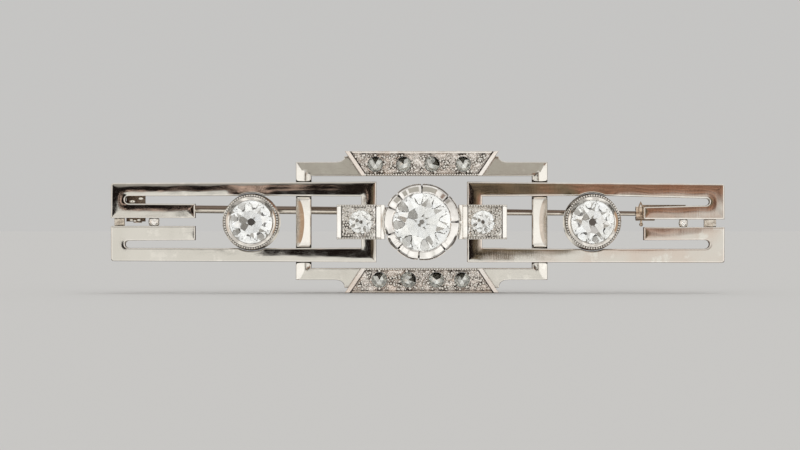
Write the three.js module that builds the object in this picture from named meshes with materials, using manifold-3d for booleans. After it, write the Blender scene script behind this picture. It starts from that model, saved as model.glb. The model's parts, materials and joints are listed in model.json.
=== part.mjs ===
// Open-work bar brooch of the 1920s: white gold, old-cut and rose-cut diamonds, pin fitting on the back.
// Millimetres. +X runs to the right as seen from the front, +Z up, and the front faces -Y.
// The origin is the centre of the whole brooch's box.
//
// Every piece is drawn on a "bench": x right, y up, z towards the viewer, with z = 0 at the centre
// frame's back plane and the z axis through the centre stone. The bench group is then stood upright,
// so that bench z becomes -Y and bench y becomes +Z, and moved to the origin.

import * as THREE from 'three';
import { ConvexGeometry } from 'three/addons/geometries/ConvexGeometry.js';
import { mergeVertices } from 'three/addons/utils/BufferGeometryUtils.js';
import Module from 'manifold-3d';

const wasm = await Module();
wasm.setup();

// ---------- driving dimensions ----------

const PI = Math.PI;
const CONTACT_GAP = 0.03;

// The two pierced wings, sawn by hand. The left one is a little longer; the right one leans down towards
// its outer end and its slots are wider. Each half gives the plate's edge at the outer end, the rail's
// inner edge near the collet and at the slot's end, the finger's outer edge at its tip and at the slot's
// end, and the finger's edge along the middle gap, all measured from the wing's middle line.
const WING_BACK = 1.3;
const WING_FRONT = 2.5;
const WING_INNER_END = 4.55;
const WING_HALF_AT_INNER_END = 4.03;
const WING_CORNER_RADIUS = 0.25;
const LEFT_HALF = {
  edge: 3.91, rail: 2.62, railAtSlotEnd: 2.6, finger: 1.82, fingerAtSlotEnd: 1.86, gap: 0.4,
};
const LEFT_WING = {
  side: -1, outerEnd: 31.1, fingerTip: 22.68, slotEnd: 29.7, upper: LEFT_HALF, lower: LEFT_HALF,
};
const RIGHT_UPPER_HALF = {
  edge: 3.81, rail: 2.62, railAtSlotEnd: 2.36, finger: 1.5, fingerAtSlotEnd: 1.66, gap: 0.27,
};
const RIGHT_LOWER_HALF = {
  edge: 4.09, rail: 2.7, railAtSlotEnd: 2.68, finger: 1.82, fingerAtSlotEnd: 1.8, gap: 0.52,
};
const RIGHT_WING = {
  side: 1, outerEnd: 30.3, fingerTip: 22.22, slotEnd: 28.8, upper: RIGHT_UPPER_HALF, lower: RIGHT_LOWER_HALF,
};
const END_BAR_OUTER_SIDE = 6.05;
const RAIL_INNER_EDGE = 2.58;
const CUTOUT_RADIUS = 2.92;

// Small pieces soldered across the middle gap of each wing.
const BEAD_RADIUS = 0.44;
const BEAD_LEVEL = 2.05;
const LEFT_BEAD_X = -26.8;
const RIGHT_BEAD_X = 26.2;
const BRIDGE_FRONT = 2.0;
const LEFT_BRIDGE = { from: -30.8, to: -29.8 };
const RIGHT_BRIDGE = { from: 28.3, to: 29.5 };

// The centre frame, a rectangular ring that the wings and the pavé bars lie on.
const FRAME_FRONT = 1.9;
const FRAME_HALF_WIDTH = 12.62;
const FRAME_TOP = 6.03;
const FRAME_BOTTOM = -5.8;
const FRAME_INNER_HALF_WIDTH = 11.1;
const FRAME_INNER_HALF_HEIGHT = 4.63;
const FRAME_CHAMFER = 0.4;
const FLARE_START = 8.8;
const FLARE_END = 7.75;
const FLARE_HEIGHT = 6.6;
const CROSSING_CLEARANCE = 0.08;

// The two pavé bars, four rose-cut stones in each.
const PAVE_FRONT = 2.7;
const PAVE_INNER_EDGE = 4.62;
const PAVE_OUTER_EDGE = 7.08;
const PAVE_INNER_HALF_LENGTH = 6.05;
const PAVE_OUTER_HALF_LENGTH = 7.7;
const PAVE_CHAMFER = 0.12;
const ROSE_DIAMETER = 1.6;
const ROSE_HEIGHT = 0.62;
const ROSE_LEVEL = 2.3;
const ROSE_ROW = 5.78;
const TOP_ROSES_X = [-4.65, -1.81, 1.03, 4.14];
const BOTTOM_ROSES_X = [-4.23, -1.34, 1.45, 4.02];
const AZURE_RADIUS = 0.5;

// Old-cut stones: proportions as fractions of the diameter.
const CUT = {
  table: 0.5, crown: 0.165, girdle: 0.025, pavilion: 0.44, culet: 0.16, starReach: 0.74, lowerReach: 0.5,
};
const SIDE_STONE_DIAMETER = 4.8;
const SIDE_STONE_LEVEL = 3.15;
const BOX_STONE_DIAMETER = 2.35;
const BOX_STONE_LEVEL = 3.52;
const CENTRE_STONE_DIAMETER = 6.6;
const CENTRE_STONE_LEVEL = 3.95;
const CENTRE_CULET = 0.08;

// Round collets of the side stones.
const COLLET_X = 17.05;
const COLLET_BASE_RADIUS = 2.88;
const COLLET_WAIST_RADIUS = 2.45;
const COLLET_RIM_RADIUS = 2.78;
const COLLET_LIP_RADIUS = 2.33;
const COLLET_FRONT = 3.6;

// Box settings between the wings and the coronet.
const BOX_X = 6.08;
const BOX_HALF_LENGTH = 2.4;
const BOX_HALF_HEIGHT = 1.725;
const BOX_FRONT = 3.7;
const BOX_WALL = 0.5;
const BOX_END_CHAMFER = 0.42;
const BOX_DECK = 0.75;

// Centre coronet: eight petals round the centre stone.
const PETALS = 8;
const FIRST_NOTCH_ANGLE = THREE.MathUtils.degToRad(42);
const CORONET_RIM_RADIUS = 3.85;
const CORONET_GALLERY_RADIUS = 3.62;
const CORONET_FRONT = 4.42;
const NOTCH_RADIUS = 0.36;
const BASE_RING_RADIUS = 2.35;
const BASE_RING_BACK = 0.05;
const BASE_RING_FRONT = 0.75;

// Pin fitting. The pin wire runs from the hinge on the left to the catch on the right.
const FITTING_DEPTH = -0.85;
const HINGE_X = -28.7;
const HINGE_Y = 1.35;
const KNUCKLE_LENGTH = 1.0;
const KNUCKLE_RADIUS = 0.6;
const KNUCKLE_BORE = 0.34;
const CHEEK_RADIUS = 0.65;
const CHEEK_THICKNESS = 0.75;
const CHEEK_GAP = 0.05;
const CHEEK_BORE = 0.32;
const RIVET_RADIUS = 0.3;
const RIVET_HEAD_RADIUS = 0.44;
const RIVET_HEAD_HEIGHT = 0.12;
const HINGE_FOOT_HALF_LENGTH = 0.95;
const HINGE_FOOT_THICKNESS = 0.35;
const PIN_RADIUS = 0.4;
const PIN_RADIUS_AT_CATCH = 0.24;
const PIN_TIP_X = 24.0;
const PIN_POINT_LENGTH = 1.6;

// Safety catch: a C-shaped body with a C-shaped sleeve turning inside it.
const CATCH_X = 22.6;
const CATCH_Y = 0.85;
const CATCH_LENGTH = 1.9;
const CATCH_BODY_RADIUS = 0.72;
const CATCH_BODY_BORE = 0.54;
const CATCH_MOUTH = 0.7;
const SLEEVE_RADIUS = 0.5;
const SLEEVE_BORE = 0.32;
const SLEEVE_MOUTH = 0.58;
const LEVER_X = -0.4;
const LEVER_RADIUS = 0.12;
const LEVER_BALL_RADIUS = 0.2;
const LEVER_REACH = 1.1;
const LEVER_WINDOW = 0.4;
const LEVER_MARGIN = 0.3;
const FOOT_THICKNESS = 0.3;
const FOOT_LOW = -0.45;
const FOOT_HIGH = 0.87;
const FOOT_END = 3.9;
const EYE_X = -0.6;
const EYE_HALF_WIDTH = 0.29;
const EYE_HOLE_HALF_WIDTH = 0.15;
const NECK = { left: -0.2, right: 0.75, low: -0.4, high: 0.4 };

const WHITE_GOLD = 0xd9d5ca;
const SATIN_GOLD = 0xc9c3b4;
const WARM_GOLD = 0xc4a878;
const DIAMOND = 0xf2f6f8;

// ---------- solids and booleans ----------

/** A closed three.js geometry as a solid that can be joined and cut. */
function toSolid(geometry) {
  const bare = geometry.clone();
  bare.deleteAttribute('normal');
  bare.deleteAttribute('uv');
  const merged = mergeVertices(bare);
  return new wasm.Manifold(new wasm.Mesh({
    numProp: 3,
    vertProperties: new Float32Array(merged.attributes.position.array),
    triVerts: new Uint32Array(merged.index.array),
  }));
}

/** The joined and cut solid as a three.js geometry with flat faces. */
function toGeometry(solid) {
  const mesh = solid.getMesh();
  const indexed = new THREE.BufferGeometry();
  indexed.setAttribute('position', new THREE.BufferAttribute(mesh.vertProperties, 3));
  indexed.setIndex(new THREE.BufferAttribute(mesh.triVerts, 1));
  const flat = indexed.toNonIndexed();
  flat.computeVertexNormals();
  return flat;
}

/** One geometry with several others cut away. */
function cut(geometry, cutters) {
  const solid = cutters.reduce((rest, cutter) => rest.subtract(toSolid(cutter)), toSolid(geometry));
  return toGeometry(solid);
}

/** Several touching geometries as one. */
function join(geometries) {
  const [first, ...others] = geometries.map(toSolid);
  return toGeometry(others.reduce((sum, other) => sum.add(other), first));
}

/** A box between two corners. */
function block(x0, x1, y0, y1, z0, z1) {
  const box = new THREE.BoxGeometry(x1 - x0, y1 - y0, z1 - z0);
  return box.translate((x0 + x1) / 2, (y0 + y1) / 2, (z0 + z1) / 2);
}

/** A flat outline raised from one level to another. */
function slab(shape, back, front, curveSegments = 8) {
  const settings = { depth: front - back, bevelEnabled: false, curveSegments };
  return new THREE.ExtrudeGeometry(shape, settings).translate(0, 0, back);
}

/** A body turned about the bench z axis; the profile is a list of [radius, level]. */
function turned(profile, segments = 40) {
  const points = profile.map(([radius, level]) => new THREE.Vector2(radius, level));
  return new THREE.LatheGeometry(points, segments).rotateX(PI / 2);
}

/** A round bar along bench z. */
function post(radius, back, front, segments = 24) {
  return turned([[0, back], [radius, back], [radius, front], [0, front]], segments);
}

/** A closed ring profile along the bench x axis, centred on the catch. */
function catchTube(radius, bore, length) {
  const half = length / 2;
  const profile = [[bore, -half], [radius, -half], [radius, half], [bore, half], [bore, -half]];
  return turned(profile, 36).rotateY(PI / 2);
}

// ---------- metalwork ----------

/** One half of a wing's outline, drawn below the middle: outside edge, finger, slot, cut-out, end bar. */
function wingHalf({ outerEnd, fingerTip, slotEnd }, half) {
  const slotRadius = (half.railAtSlotEnd - half.fingerAtSlotEnd) / 2;
  const slotMiddle = (half.railAtSlotEnd + half.fingerAtSlotEnd) / 2;
  const cornerX = outerEnd - WING_CORNER_RADIUS;
  const cornerY = -half.edge + WING_CORNER_RADIUS;
  const biteAngle = Math.asin(half.rail / CUTOUT_RADIUS);
  const path = new THREE.Path();
  path.moveTo(WING_INNER_END, -WING_HALF_AT_INNER_END);
  path.lineTo(cornerX, -half.edge);
  path.absarc(cornerX, cornerY, WING_CORNER_RADIUS, -PI / 2, 0, false);
  path.lineTo(outerEnd, -half.gap);
  path.lineTo(fingerTip, -half.gap);
  path.lineTo(fingerTip, -half.finger);
  path.absarc(slotEnd - slotRadius, -slotMiddle, slotRadius, PI / 2, -PI / 2, true);
  path.absarc(COLLET_X, 0, CUTOUT_RADIUS, -biteAngle, biteAngle - PI, true);
  path.lineTo(END_BAR_OUTER_SIDE, -RAIL_INNER_EDGE);
  return path.getPoints(6);
}

/** A wing: two rails joined at the inner end, two fingers running back from the outer end. */
function wing(spec) {
  const lower = wingHalf(spec, spec.lower);
  const upper = wingHalf(spec, spec.upper).map((point) => new THREE.Vector2(point.x, -point.y)).reverse();
  const outline = [...lower, ...upper].map((point) => new THREE.Vector2(point.x * spec.side, point.y));
  return slab(new THREE.Shape(outline), WING_BACK, WING_FRONT);
}

/** Lowest and highest y of a piece that fills a wing's middle gap. */
function gapSpan({ lower, upper }) {
  return [CONTACT_GAP / 2 - lower.gap, upper.gap - CONTACT_GAP / 2];
}

/** A small ball, flattened above and below where it meets the fingers. */
function gapBead(x, spec) {
  const [low, high] = gapSpan(spec);
  const reach = 2 * BEAD_RADIUS;
  const ball = new THREE.SphereGeometry(BEAD_RADIUS, 16, 10).translate(x, (low + high) / 2, BEAD_LEVEL);
  return cut(ball, [
    block(x - reach, x + reach, high, high + reach, 0, 2 * PAVE_FRONT),
    block(x - reach, x + reach, low - reach, low, 0, 2 * PAVE_FRONT),
  ]);
}

/** A small block that ties the two fingers together near the open end. */
function bridge({ from, to }, spec) {
  return block(from, to, ...gapSpan(spec), WING_BACK, BRIDGE_FRONT);
}

/** Outline of the centre frame, with a concave flare on each side of the pavé bars. */
function frameShape() {
  const shape = new THREE.Shape();
  shape.moveTo(FRAME_HALF_WIDTH, FRAME_BOTTOM);
  shape.lineTo(FRAME_HALF_WIDTH, FRAME_TOP);
  shape.lineTo(FLARE_START, FRAME_TOP);
  shape.quadraticCurveTo(FLARE_END, FRAME_TOP, FLARE_END, FLARE_HEIGHT);
  shape.lineTo(-FLARE_END, FLARE_HEIGHT);
  shape.quadraticCurveTo(-FLARE_END, FRAME_TOP, -FLARE_START, FRAME_TOP);
  shape.lineTo(-FRAME_HALF_WIDTH, FRAME_TOP);
  shape.lineTo(-FRAME_HALF_WIDTH, FRAME_BOTTOM);
  shape.lineTo(-FLARE_START, FRAME_BOTTOM);
  shape.quadraticCurveTo(-FLARE_END, FRAME_BOTTOM, -FLARE_END, -FLARE_HEIGHT);
  shape.lineTo(FLARE_END, -FLARE_HEIGHT);
  shape.quadraticCurveTo(FLARE_END, FRAME_BOTTOM, FLARE_START, FRAME_BOTTOM);
  shape.closePath();
  const w = FRAME_INNER_HALF_WIDTH;
  const h = FRAME_INNER_HALF_HEIGHT;
  const corners = [[-w, -h], [-w, h], [w, h], [w, -h]];
  shape.holes.push(new THREE.Path(corners.map(([x, y]) => new THREE.Vector2(x, y))));
  return shape;
}

/** Outline of a pavé bar: the long side faces outward, the ends slant. */
function paveShape(side, grow = 0) {
  const inner = PAVE_INNER_HALF_LENGTH + grow;
  const outer = PAVE_OUTER_HALF_LENGTH + grow;
  const low = (PAVE_INNER_EDGE - grow) * side;
  const high = (PAVE_OUTER_EDGE + grow) * side;
  const corners = [[-inner, low], [inner, low], [outer, high], [-outer, high]];
  return new THREE.Shape(corners.map(([x, y]) => new THREE.Vector2(x, y)));
}

/** The open hole behind each rose-cut stone. */
function azureHoles(row, centres) {
  return centres.map((x) => post(AZURE_RADIUS, -1, 4, 16).translate(x, row, 0));
}

/** The rectangular ring, chamfered in front, flat behind, notched where the wings and bars sit. */
function centreFrame() {
  const settings = {
    depth: FRAME_FRONT, bevelThickness: FRAME_CHAMFER, bevelSize: FRAME_CHAMFER,
    bevelOffset: -FRAME_CHAMFER, bevelSegments: 1, curveSegments: 8,
  };
  const ring = new THREE.ExtrudeGeometry(frameShape(), settings).translate(0, 0, -FRAME_CHAMFER);
  const far = 2 * FRAME_HALF_WIDTH;
  const cutters = [block(-far, far, -far, far, -2, 0)];
  for (const sideX of [-1, 1]) {
    for (const sideY of [-1, 1]) {
      const middleX = sideX * (FRAME_HALF_WIDTH + FRAME_INNER_HALF_WIDTH) / 2;
      const middleY = sideY * (RAIL_INNER_EDGE + WING_HALF_AT_INNER_END) / 2;
      const half = (WING_HALF_AT_INNER_END - RAIL_INNER_EDGE) / 2 + CROSSING_CLEARANCE;
      cutters.push(block(middleX - 1, middleX + 1, middleY - half, middleY + half, WING_BACK, 4));
    }
  }
  for (const side of [-1, 1]) {
    cutters.push(slab(paveShape(side, CONTACT_GAP), WING_BACK, 4));
  }
  cutters.push(...azureHoles(ROSE_ROW, TOP_ROSES_X), ...azureHoles(-ROSE_ROW, BOTTOM_ROSES_X));
  return cut(ring, cutters);
}

/** A pavé bar with a round seat and an open back for each of its stones. */
function paveBar(side, centres) {
  const settings = {
    depth: PAVE_FRONT - WING_BACK, bevelThickness: PAVE_CHAMFER, bevelSize: PAVE_CHAMFER,
    bevelOffset: -PAVE_CHAMFER, bevelSegments: 1,
  };
  const bar = new THREE.ExtrudeGeometry(paveShape(side), settings)
    .translate(0, 0, WING_BACK - PAVE_CHAMFER);
  const far = 2 * PAVE_OUTER_HALF_LENGTH;
  const seatRadius = ROSE_DIAMETER / 2 + CONTACT_GAP;
  const seats = centres.map((x) => post(seatRadius, ROSE_LEVEL, 4).translate(x, side * ROSE_ROW, 0));
  const behind = block(-far, far, -far, far, 0, WING_BACK);
  return cut(bar, [behind, ...seats, ...azureHoles(side * ROSE_ROW, centres)]);
}

/** A turned collet: base flange, waist, flaring rim, and a lip over the stone's edge. */
function collet() {
  const stone = SIDE_STONE_DIAMETER / 2;
  const girdleBottom = SIDE_STONE_LEVEL - CUT.girdle * SIDE_STONE_DIAMETER;
  return turned([
    [1.85, WING_BACK],
    [COLLET_BASE_RADIUS, WING_BACK],
    [COLLET_BASE_RADIUS, 1.72],
    [COLLET_WAIST_RADIUS + 0.1, 1.95],
    [COLLET_WAIST_RADIUS, 2.3],
    [COLLET_RIM_RADIUS, 3.1],
    [COLLET_RIM_RADIUS, COLLET_FRONT - 0.15],
    [COLLET_RIM_RADIUS - 0.15, COLLET_FRONT],
    [COLLET_LIP_RADIUS + 0.08, COLLET_FRONT],
    [COLLET_LIP_RADIUS, COLLET_FRONT - 0.1],
    [stone + CONTACT_GAP, SIDE_STONE_LEVEL + 0.12],
    [stone + CONTACT_GAP, girdleBottom - 0.02],
    [1.95, girdleBottom - 0.5],
    [1.85, WING_BACK],
  ], 40);
}

/** A box setting: sloping ends, open back, saddled against the coronet and over the wing's end bar. */
function boxSetting(side) {
  const half = BOX_HALF_LENGTH;
  const shoulder = BOX_FRONT - BOX_END_CHAMFER;
  const profile = new THREE.Shape();
  profile.moveTo(BOX_X - half - BOX_WALL, WING_BACK);
  profile.lineTo(BOX_X + half, WING_BACK);
  profile.lineTo(BOX_X + half, shoulder);
  profile.lineTo(BOX_X + half - BOX_END_CHAMFER, BOX_FRONT);
  profile.lineTo(BOX_X - half, BOX_FRONT);
  profile.lineTo(BOX_X - half - BOX_WALL, BOX_FRONT - BOX_WALL);
  profile.closePath();
  const body = slab(profile, -BOX_HALF_HEIGHT, BOX_HALF_HEIGHT).rotateX(PI / 2);
  const hollow = block(
    BOX_X - half + BOX_WALL, BOX_X + half - BOX_WALL,
    BOX_WALL - BOX_HALF_HEIGHT, BOX_HALF_HEIGHT - BOX_WALL,
    0, BOX_FRONT - BOX_DECK,
  );
  const seatRadius = BOX_STONE_DIAMETER / 2 + CONTACT_GAP;
  const seatLevel = BOX_STONE_LEVEL - CUT.girdle * BOX_STONE_DIAMETER - 0.03;
  const seat = turned([
    [0, 0], [seatRadius - 0.4, 0], [seatRadius - 0.4, seatLevel - 0.4],
    [seatRadius, seatLevel], [seatRadius, 5], [0, 5],
  ], 28).translate(BOX_X, 0, 0);
  const saddle = post(CORONET_GALLERY_RADIUS + 2 * CONTACT_GAP, 0, 5, 72);
  const endBar = block(
    WING_INNER_END - CONTACT_GAP, END_BAR_OUTER_SIDE + CONTACT_GAP, -4, 4, 0, WING_FRONT + CONTACT_GAP,
  );
  const box = cut(body, [hollow, seat, saddle, endBar]);
  return side > 0 ? box : box.rotateZ(PI);
}

/** The coronet: a flared ring whose rim is notched into petals. */
function coronet() {
  const stone = CENTRE_STONE_DIAMETER / 2;
  const girdleBottom = CENTRE_STONE_LEVEL - CUT.girdle * CENTRE_STONE_DIAMETER;
  const ring = turned([
    [1.75, BASE_RING_FRONT],
    [2.3, BASE_RING_FRONT],
    [3.0, 1.75],
    [3.45, 2.8],
    [CORONET_GALLERY_RADIUS, 3.25],
    [CORONET_GALLERY_RADIUS, BOX_FRONT + CONTACT_GAP],
    [CORONET_RIM_RADIUS, 4.05],
    [CORONET_RIM_RADIUS, CORONET_FRONT - 0.2],
    [CORONET_RIM_RADIUS - 0.2, CORONET_FRONT],
    [stone, CORONET_FRONT],
    [stone - 0.08, CORONET_FRONT - 0.1],
    [stone + CONTACT_GAP, CENTRE_STONE_LEVEL + 0.14],
    [stone + CONTACT_GAP, girdleBottom - 0.02],
    [stone - 0.5, girdleBottom - 0.5],
    [2.45, 2.3],
    [1.75, BASE_RING_FRONT],
  ], 56);
  const notches = [];
  for (let index = 0; index < PETALS; index += 1) {
    const angle = FIRST_NOTCH_ANGLE + index * 2 * PI / PETALS;
    const reach = CORONET_RIM_RADIUS + NOTCH_RADIUS / 3;
    const notch = post(NOTCH_RADIUS, BOX_FRONT + 2 * CONTACT_GAP, 5, 12);
    notches.push(notch.translate(reach * Math.cos(angle), reach * Math.sin(angle), 0));
  }
  return cut(ring, notches);
}

/** The plain ring under the coronet, which closes the setting behind. */
function baseRing() {
  const inner = BASE_RING_RADIUS - 0.65;
  return turned([
    [inner, BASE_RING_BACK],
    [BASE_RING_RADIUS, BASE_RING_BACK],
    [BASE_RING_RADIUS, BASE_RING_FRONT],
    [inner, BASE_RING_FRONT],
    [inner, BASE_RING_BACK],
  ], 40);
}

// ---------- stones ----------

/** Points round a circle on one level. */
function circle(radius, level, count, phase) {
  return Array.from({ length: count }, (_, index) => {
    const angle = phase + index * 2 * PI / count;
    return new THREE.Vector3(radius * Math.cos(angle), radius * Math.sin(angle), level);
  });
}

/** An old-cut brilliant. Level 0 is the top of its girdle; every facet is flat by construction. */
function oldCut(diameter, culet = CUT.culet) {
  const eighth = PI / 8;
  const radius = diameter / 2;
  const table = radius * CUT.table;
  const crown = diameter * CUT.crown;
  const star = radius * CUT.starReach;
  const starLevel = crown * (radius - star * Math.cos(eighth)) / (radius - table);
  const girdle = -diameter * CUT.girdle;
  const slope = diameter * CUT.pavilion / radius;
  const lower = radius * CUT.lowerReach;
  const lowerLevel = girdle - slope * (radius - lower * Math.cos(eighth));
  const culetRadius = radius * culet;
  const culetLevel = girdle - slope * (radius - culetRadius * Math.cos(eighth));
  return new ConvexGeometry([
    ...circle(table, crown, 8, 0),
    ...circle(star, starLevel, 8, eighth),
    ...circle(radius, 0, 16, 0),
    ...circle(radius, girdle, 16, 0),
    ...circle(lower, lowerLevel, 8, eighth),
    ...circle(culetRadius, culetLevel, 8, eighth),
  ]);
}

/** A rose-cut stone: flat base at level 0, a low dome of triangular facets. */
function roseCut() {
  const radius = ROSE_DIAMETER / 2;
  return new ConvexGeometry([
    new THREE.Vector3(0, 0, ROSE_HEIGHT),
    ...circle(radius * 0.55, ROSE_HEIGHT * 0.78, 6, 0),
    ...circle(radius, 0.12, 12, 0),
    ...circle(radius, 0, 12, 0),
  ]);
}

// ---------- pin fitting ----------

/** One cheek of the hinge: a tab with a round end and a hole for the rivet. */
function cheek(low, high) {
  const depth = WING_BACK - HINGE_FOOT_THICKNESS / 2 - FITTING_DEPTH;
  const tab = new THREE.Shape();
  tab.moveTo(CHEEK_RADIUS, depth);
  tab.lineTo(-CHEEK_RADIUS, depth);
  tab.absarc(0, 0, CHEEK_RADIUS, PI, 2 * PI, false);
  tab.closePath();
  const hole = new THREE.Path();
  hole.absarc(0, 0, CHEEK_BORE, 0, 2 * PI, true);
  tab.holes.push(hole);
  return slab(tab, -high, -low, 12).rotateX(PI / 2).translate(HINGE_X, 0, FITTING_DEPTH);
}

/** The hinge: a foot soldered behind the wing's upper finger, and two cheeks. */
function hingeJoint() {
  const inner = KNUCKLE_LENGTH / 2 + CHEEK_GAP;
  const outer = inner + CHEEK_THICKNESS;
  const foot = block(
    HINGE_X - HINGE_FOOT_HALF_LENGTH, HINGE_X + HINGE_FOOT_HALF_LENGTH,
    HINGE_Y - outer, HINGE_Y + outer, WING_BACK - HINGE_FOOT_THICKNESS, WING_BACK,
  );
  const cheeks = [cheek(HINGE_Y - outer, HINGE_Y - inner), cheek(HINGE_Y + inner, HINGE_Y + outer)];
  return join([foot, ...cheeks]);
}

/** The rivet, with a low head at each end. */
function hingeRivet() {
  const half = KNUCKLE_LENGTH / 2 + CHEEK_GAP + CHEEK_THICKNESS;
  const end = half + RIVET_HEAD_HEIGHT;
  const profile = [
    [0, -end], [RIVET_HEAD_RADIUS, -end], [RIVET_HEAD_RADIUS, -half], [RIVET_RADIUS, -half],
    [RIVET_RADIUS, half], [RIVET_HEAD_RADIUS, half], [RIVET_HEAD_RADIUS, end], [0, end],
  ];
  return turned(profile, 24).rotateX(-PI / 2).translate(HINGE_X, HINGE_Y, FITTING_DEPTH);
}

/** The pin: a knuckle on the rivet and a wire that tapers to a point beyond the catch. */
function pinStem() {
  const run = PIN_TIP_X - HINGE_X;
  const drop = (CATCH_Y - HINGE_Y) * run / (CATCH_X - HINGE_X);
  const length = Math.hypot(run, drop);
  const toCatch = CATCH_X - HINGE_X;
  const wire = turned([
    [0, KNUCKLE_BORE + 0.12],
    [PIN_RADIUS, KNUCKLE_BORE + 0.12],
    [PIN_RADIUS, toCatch * 0.55],
    [PIN_RADIUS_AT_CATCH, toCatch - 2],
    [PIN_RADIUS_AT_CATCH, length - PIN_POINT_LENGTH],
    [0, length],
  ], 20).rotateY(PI / 2).rotateZ(Math.atan2(drop, run));
  const half = KNUCKLE_LENGTH / 2;
  const knuckle = post(KNUCKLE_RADIUS, -half, half, 32).rotateX(-PI / 2);
  const bore = post(KNUCKLE_BORE, -1, 1, 32).rotateX(-PI / 2);
  return cut(join([knuckle, wire]), [bore]).translate(HINGE_X, HINGE_Y, FITTING_DEPTH);
}

/** A pointed arch about the line x = EYE_X: round below, drawn in to a tip above. */
function archPoints(halfWidth, bottom, shoulder, tip) {
  const arch = new THREE.Path();
  arch.moveTo(EYE_X, bottom);
  arch.quadraticCurveTo(EYE_X + halfWidth, bottom, EYE_X + halfWidth, shoulder);
  arch.quadraticCurveTo(EYE_X + halfWidth * 0.9, (shoulder + tip) / 2, EYE_X, tip);
  arch.quadraticCurveTo(EYE_X - halfWidth * 0.9, (shoulder + tip) / 2, EYE_X - halfWidth, shoulder);
  arch.quadraticCurveTo(EYE_X - halfWidth, bottom, EYE_X, bottom);
  return arch.getPoints(6).slice(1);
}

/** Foot of the catch, about the pin's line: a plate behind the finger, with a pointed eye beside it. */
function catchFoot() {
  const rise = WING_BACK - FITTING_DEPTH;
  const plate = block(EYE_X, FOOT_END, FOOT_LOW, FOOT_HIGH, rise - FOOT_THICKNESS, rise);
  const loop = new THREE.Shape(archPoints(EYE_HALF_WIDTH, 0, 0.35, 1.22));
  const hole = new THREE.Shape(archPoints(EYE_HOLE_HALF_WIDTH, 0.16, 0.36, 0.95));
  const clear = block(EYE_X - 1, EYE_X + EYE_HALF_WIDTH / 2, FOOT_LOW - 1, FOOT_HIGH + 1, 0, rise + 1);
  const eye = slab(loop, rise - FOOT_THICKNESS + 0.02, rise - 0.02);
  return cut(join([cut(plate, [clear]), eye]), [slab(hole, 0, rise + 1)]);
}

/** The body of the catch: a C-shaped tube open at the back, with a window for the sleeve's lever. */
function catchBody() {
  const tube = catchTube(CATCH_BODY_RADIUS, CATCH_BODY_BORE, CATCH_LENGTH);
  const mouth = block(-2, 2, -CATCH_MOUTH / 2, CATCH_MOUTH / 2, -2, 0);
  const sector = new THREE.Shape();
  sector.absarc(0, 0, 2, -PI / 2 - LEVER_MARGIN, 0, false);
  sector.lineTo(0, 0);
  const window = slab(sector, LEVER_X - LEVER_WINDOW / 2, LEVER_X + LEVER_WINDOW / 2, 12).rotateY(PI / 2);
  const body = cut(tube, [mouth, window]);
  const rise = WING_BACK - FITTING_DEPTH;
  const { left, right, low, high } = NECK;
  const neck = block(left, right, low, high, CATCH_BODY_BORE + 0.02, rise - FOOT_THICKNESS / 2);
  const assembled = join([body, neck, catchFoot()]);
  return assembled.translate(CATCH_X, CATCH_Y, FITTING_DEPTH);
}

/** The sleeve: a C-shaped tube with a ball-ended lever. At rest its slot faces back and it is open. */
function catchSleeve() {
  const tube = catchTube(SLEEVE_RADIUS, SLEEVE_BORE, CATCH_LENGTH);
  const mouth = block(-2, 2, -SLEEVE_MOUTH / 2, SLEEVE_MOUTH / 2, -2, 0);
  const middle = (SLEEVE_BORE + SLEEVE_RADIUS) / 2;
  const lever = post(LEVER_RADIUS, middle, LEVER_REACH, 16).rotateX(PI / 2).translate(LEVER_X, 0, 0);
  const ball = new THREE.SphereGeometry(LEVER_BALL_RADIUS, 16, 12).translate(LEVER_X, -LEVER_REACH, 0);
  const sleeve = join([cut(tube, [mouth]), lever, ball]);
  return sleeve.translate(CATCH_X, CATCH_Y, FITTING_DEPTH);
}

// ---------- assembly ----------

const brooch = new THREE.Group();
const bench = new THREE.Group();
bench.rotation.x = PI / 2;
brooch.add(bench);

/** Puts one named piece on the bench, with a material of its own. */
function addPiece(name, geometry, color, roughness, metalness = 1) {
  const material = new THREE.MeshStandardMaterial({ color, roughness, metalness });
  const mesh = new THREE.Mesh(geometry, material);
  mesh.name = name;
  bench.add(mesh);
  return mesh;
}

/** Puts one named stone on the bench at its place, turned by spin. */
function addStone(name, geometry, x, y, level, spin) {
  const stone = addPiece(name, geometry, DIAMOND, 0.02, 0);
  stone.position.set(x, y, level);
  stone.rotation.z = spin;
}

addPiece('centre_frame', centreFrame(), WHITE_GOLD, 0.25);
addPiece('left_wing', wing(LEFT_WING), WHITE_GOLD, 0.12);
addPiece('right_wing', wing(RIGHT_WING), WHITE_GOLD, 0.12);
addPiece('left_bead', gapBead(LEFT_BEAD_X, LEFT_WING), WHITE_GOLD, 0.12);
addPiece('right_bead', gapBead(RIGHT_BEAD_X, RIGHT_WING), WHITE_GOLD, 0.12);
addPiece('left_bridge', bridge(LEFT_BRIDGE, LEFT_WING), SATIN_GOLD, 0.35);
addPiece('right_bridge', bridge(RIGHT_BRIDGE, RIGHT_WING), SATIN_GOLD, 0.35);
addPiece('top_pave_bar', paveBar(1, TOP_ROSES_X), SATIN_GOLD, 0.3);
addPiece('bottom_pave_bar', paveBar(-1, BOTTOM_ROSES_X), SATIN_GOLD, 0.3);

for (const [name, side] of [['left', -1], ['right', 1]]) {
  const setting = addPiece(`${name}_collet`, collet(), WHITE_GOLD, 0.15);
  setting.position.x = side * COLLET_X;
  addPiece(`${name}_box`, boxSetting(side), WHITE_GOLD, 0.15);
  addStone(`${name}_diamond`, oldCut(SIDE_STONE_DIAMETER), side * COLLET_X, 0, SIDE_STONE_LEVEL, 0.2 * side);
  addStone(`${name}_box_diamond`, oldCut(BOX_STONE_DIAMETER), side * BOX_X, 0, BOX_STONE_LEVEL, 0.35 * side);
}

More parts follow.
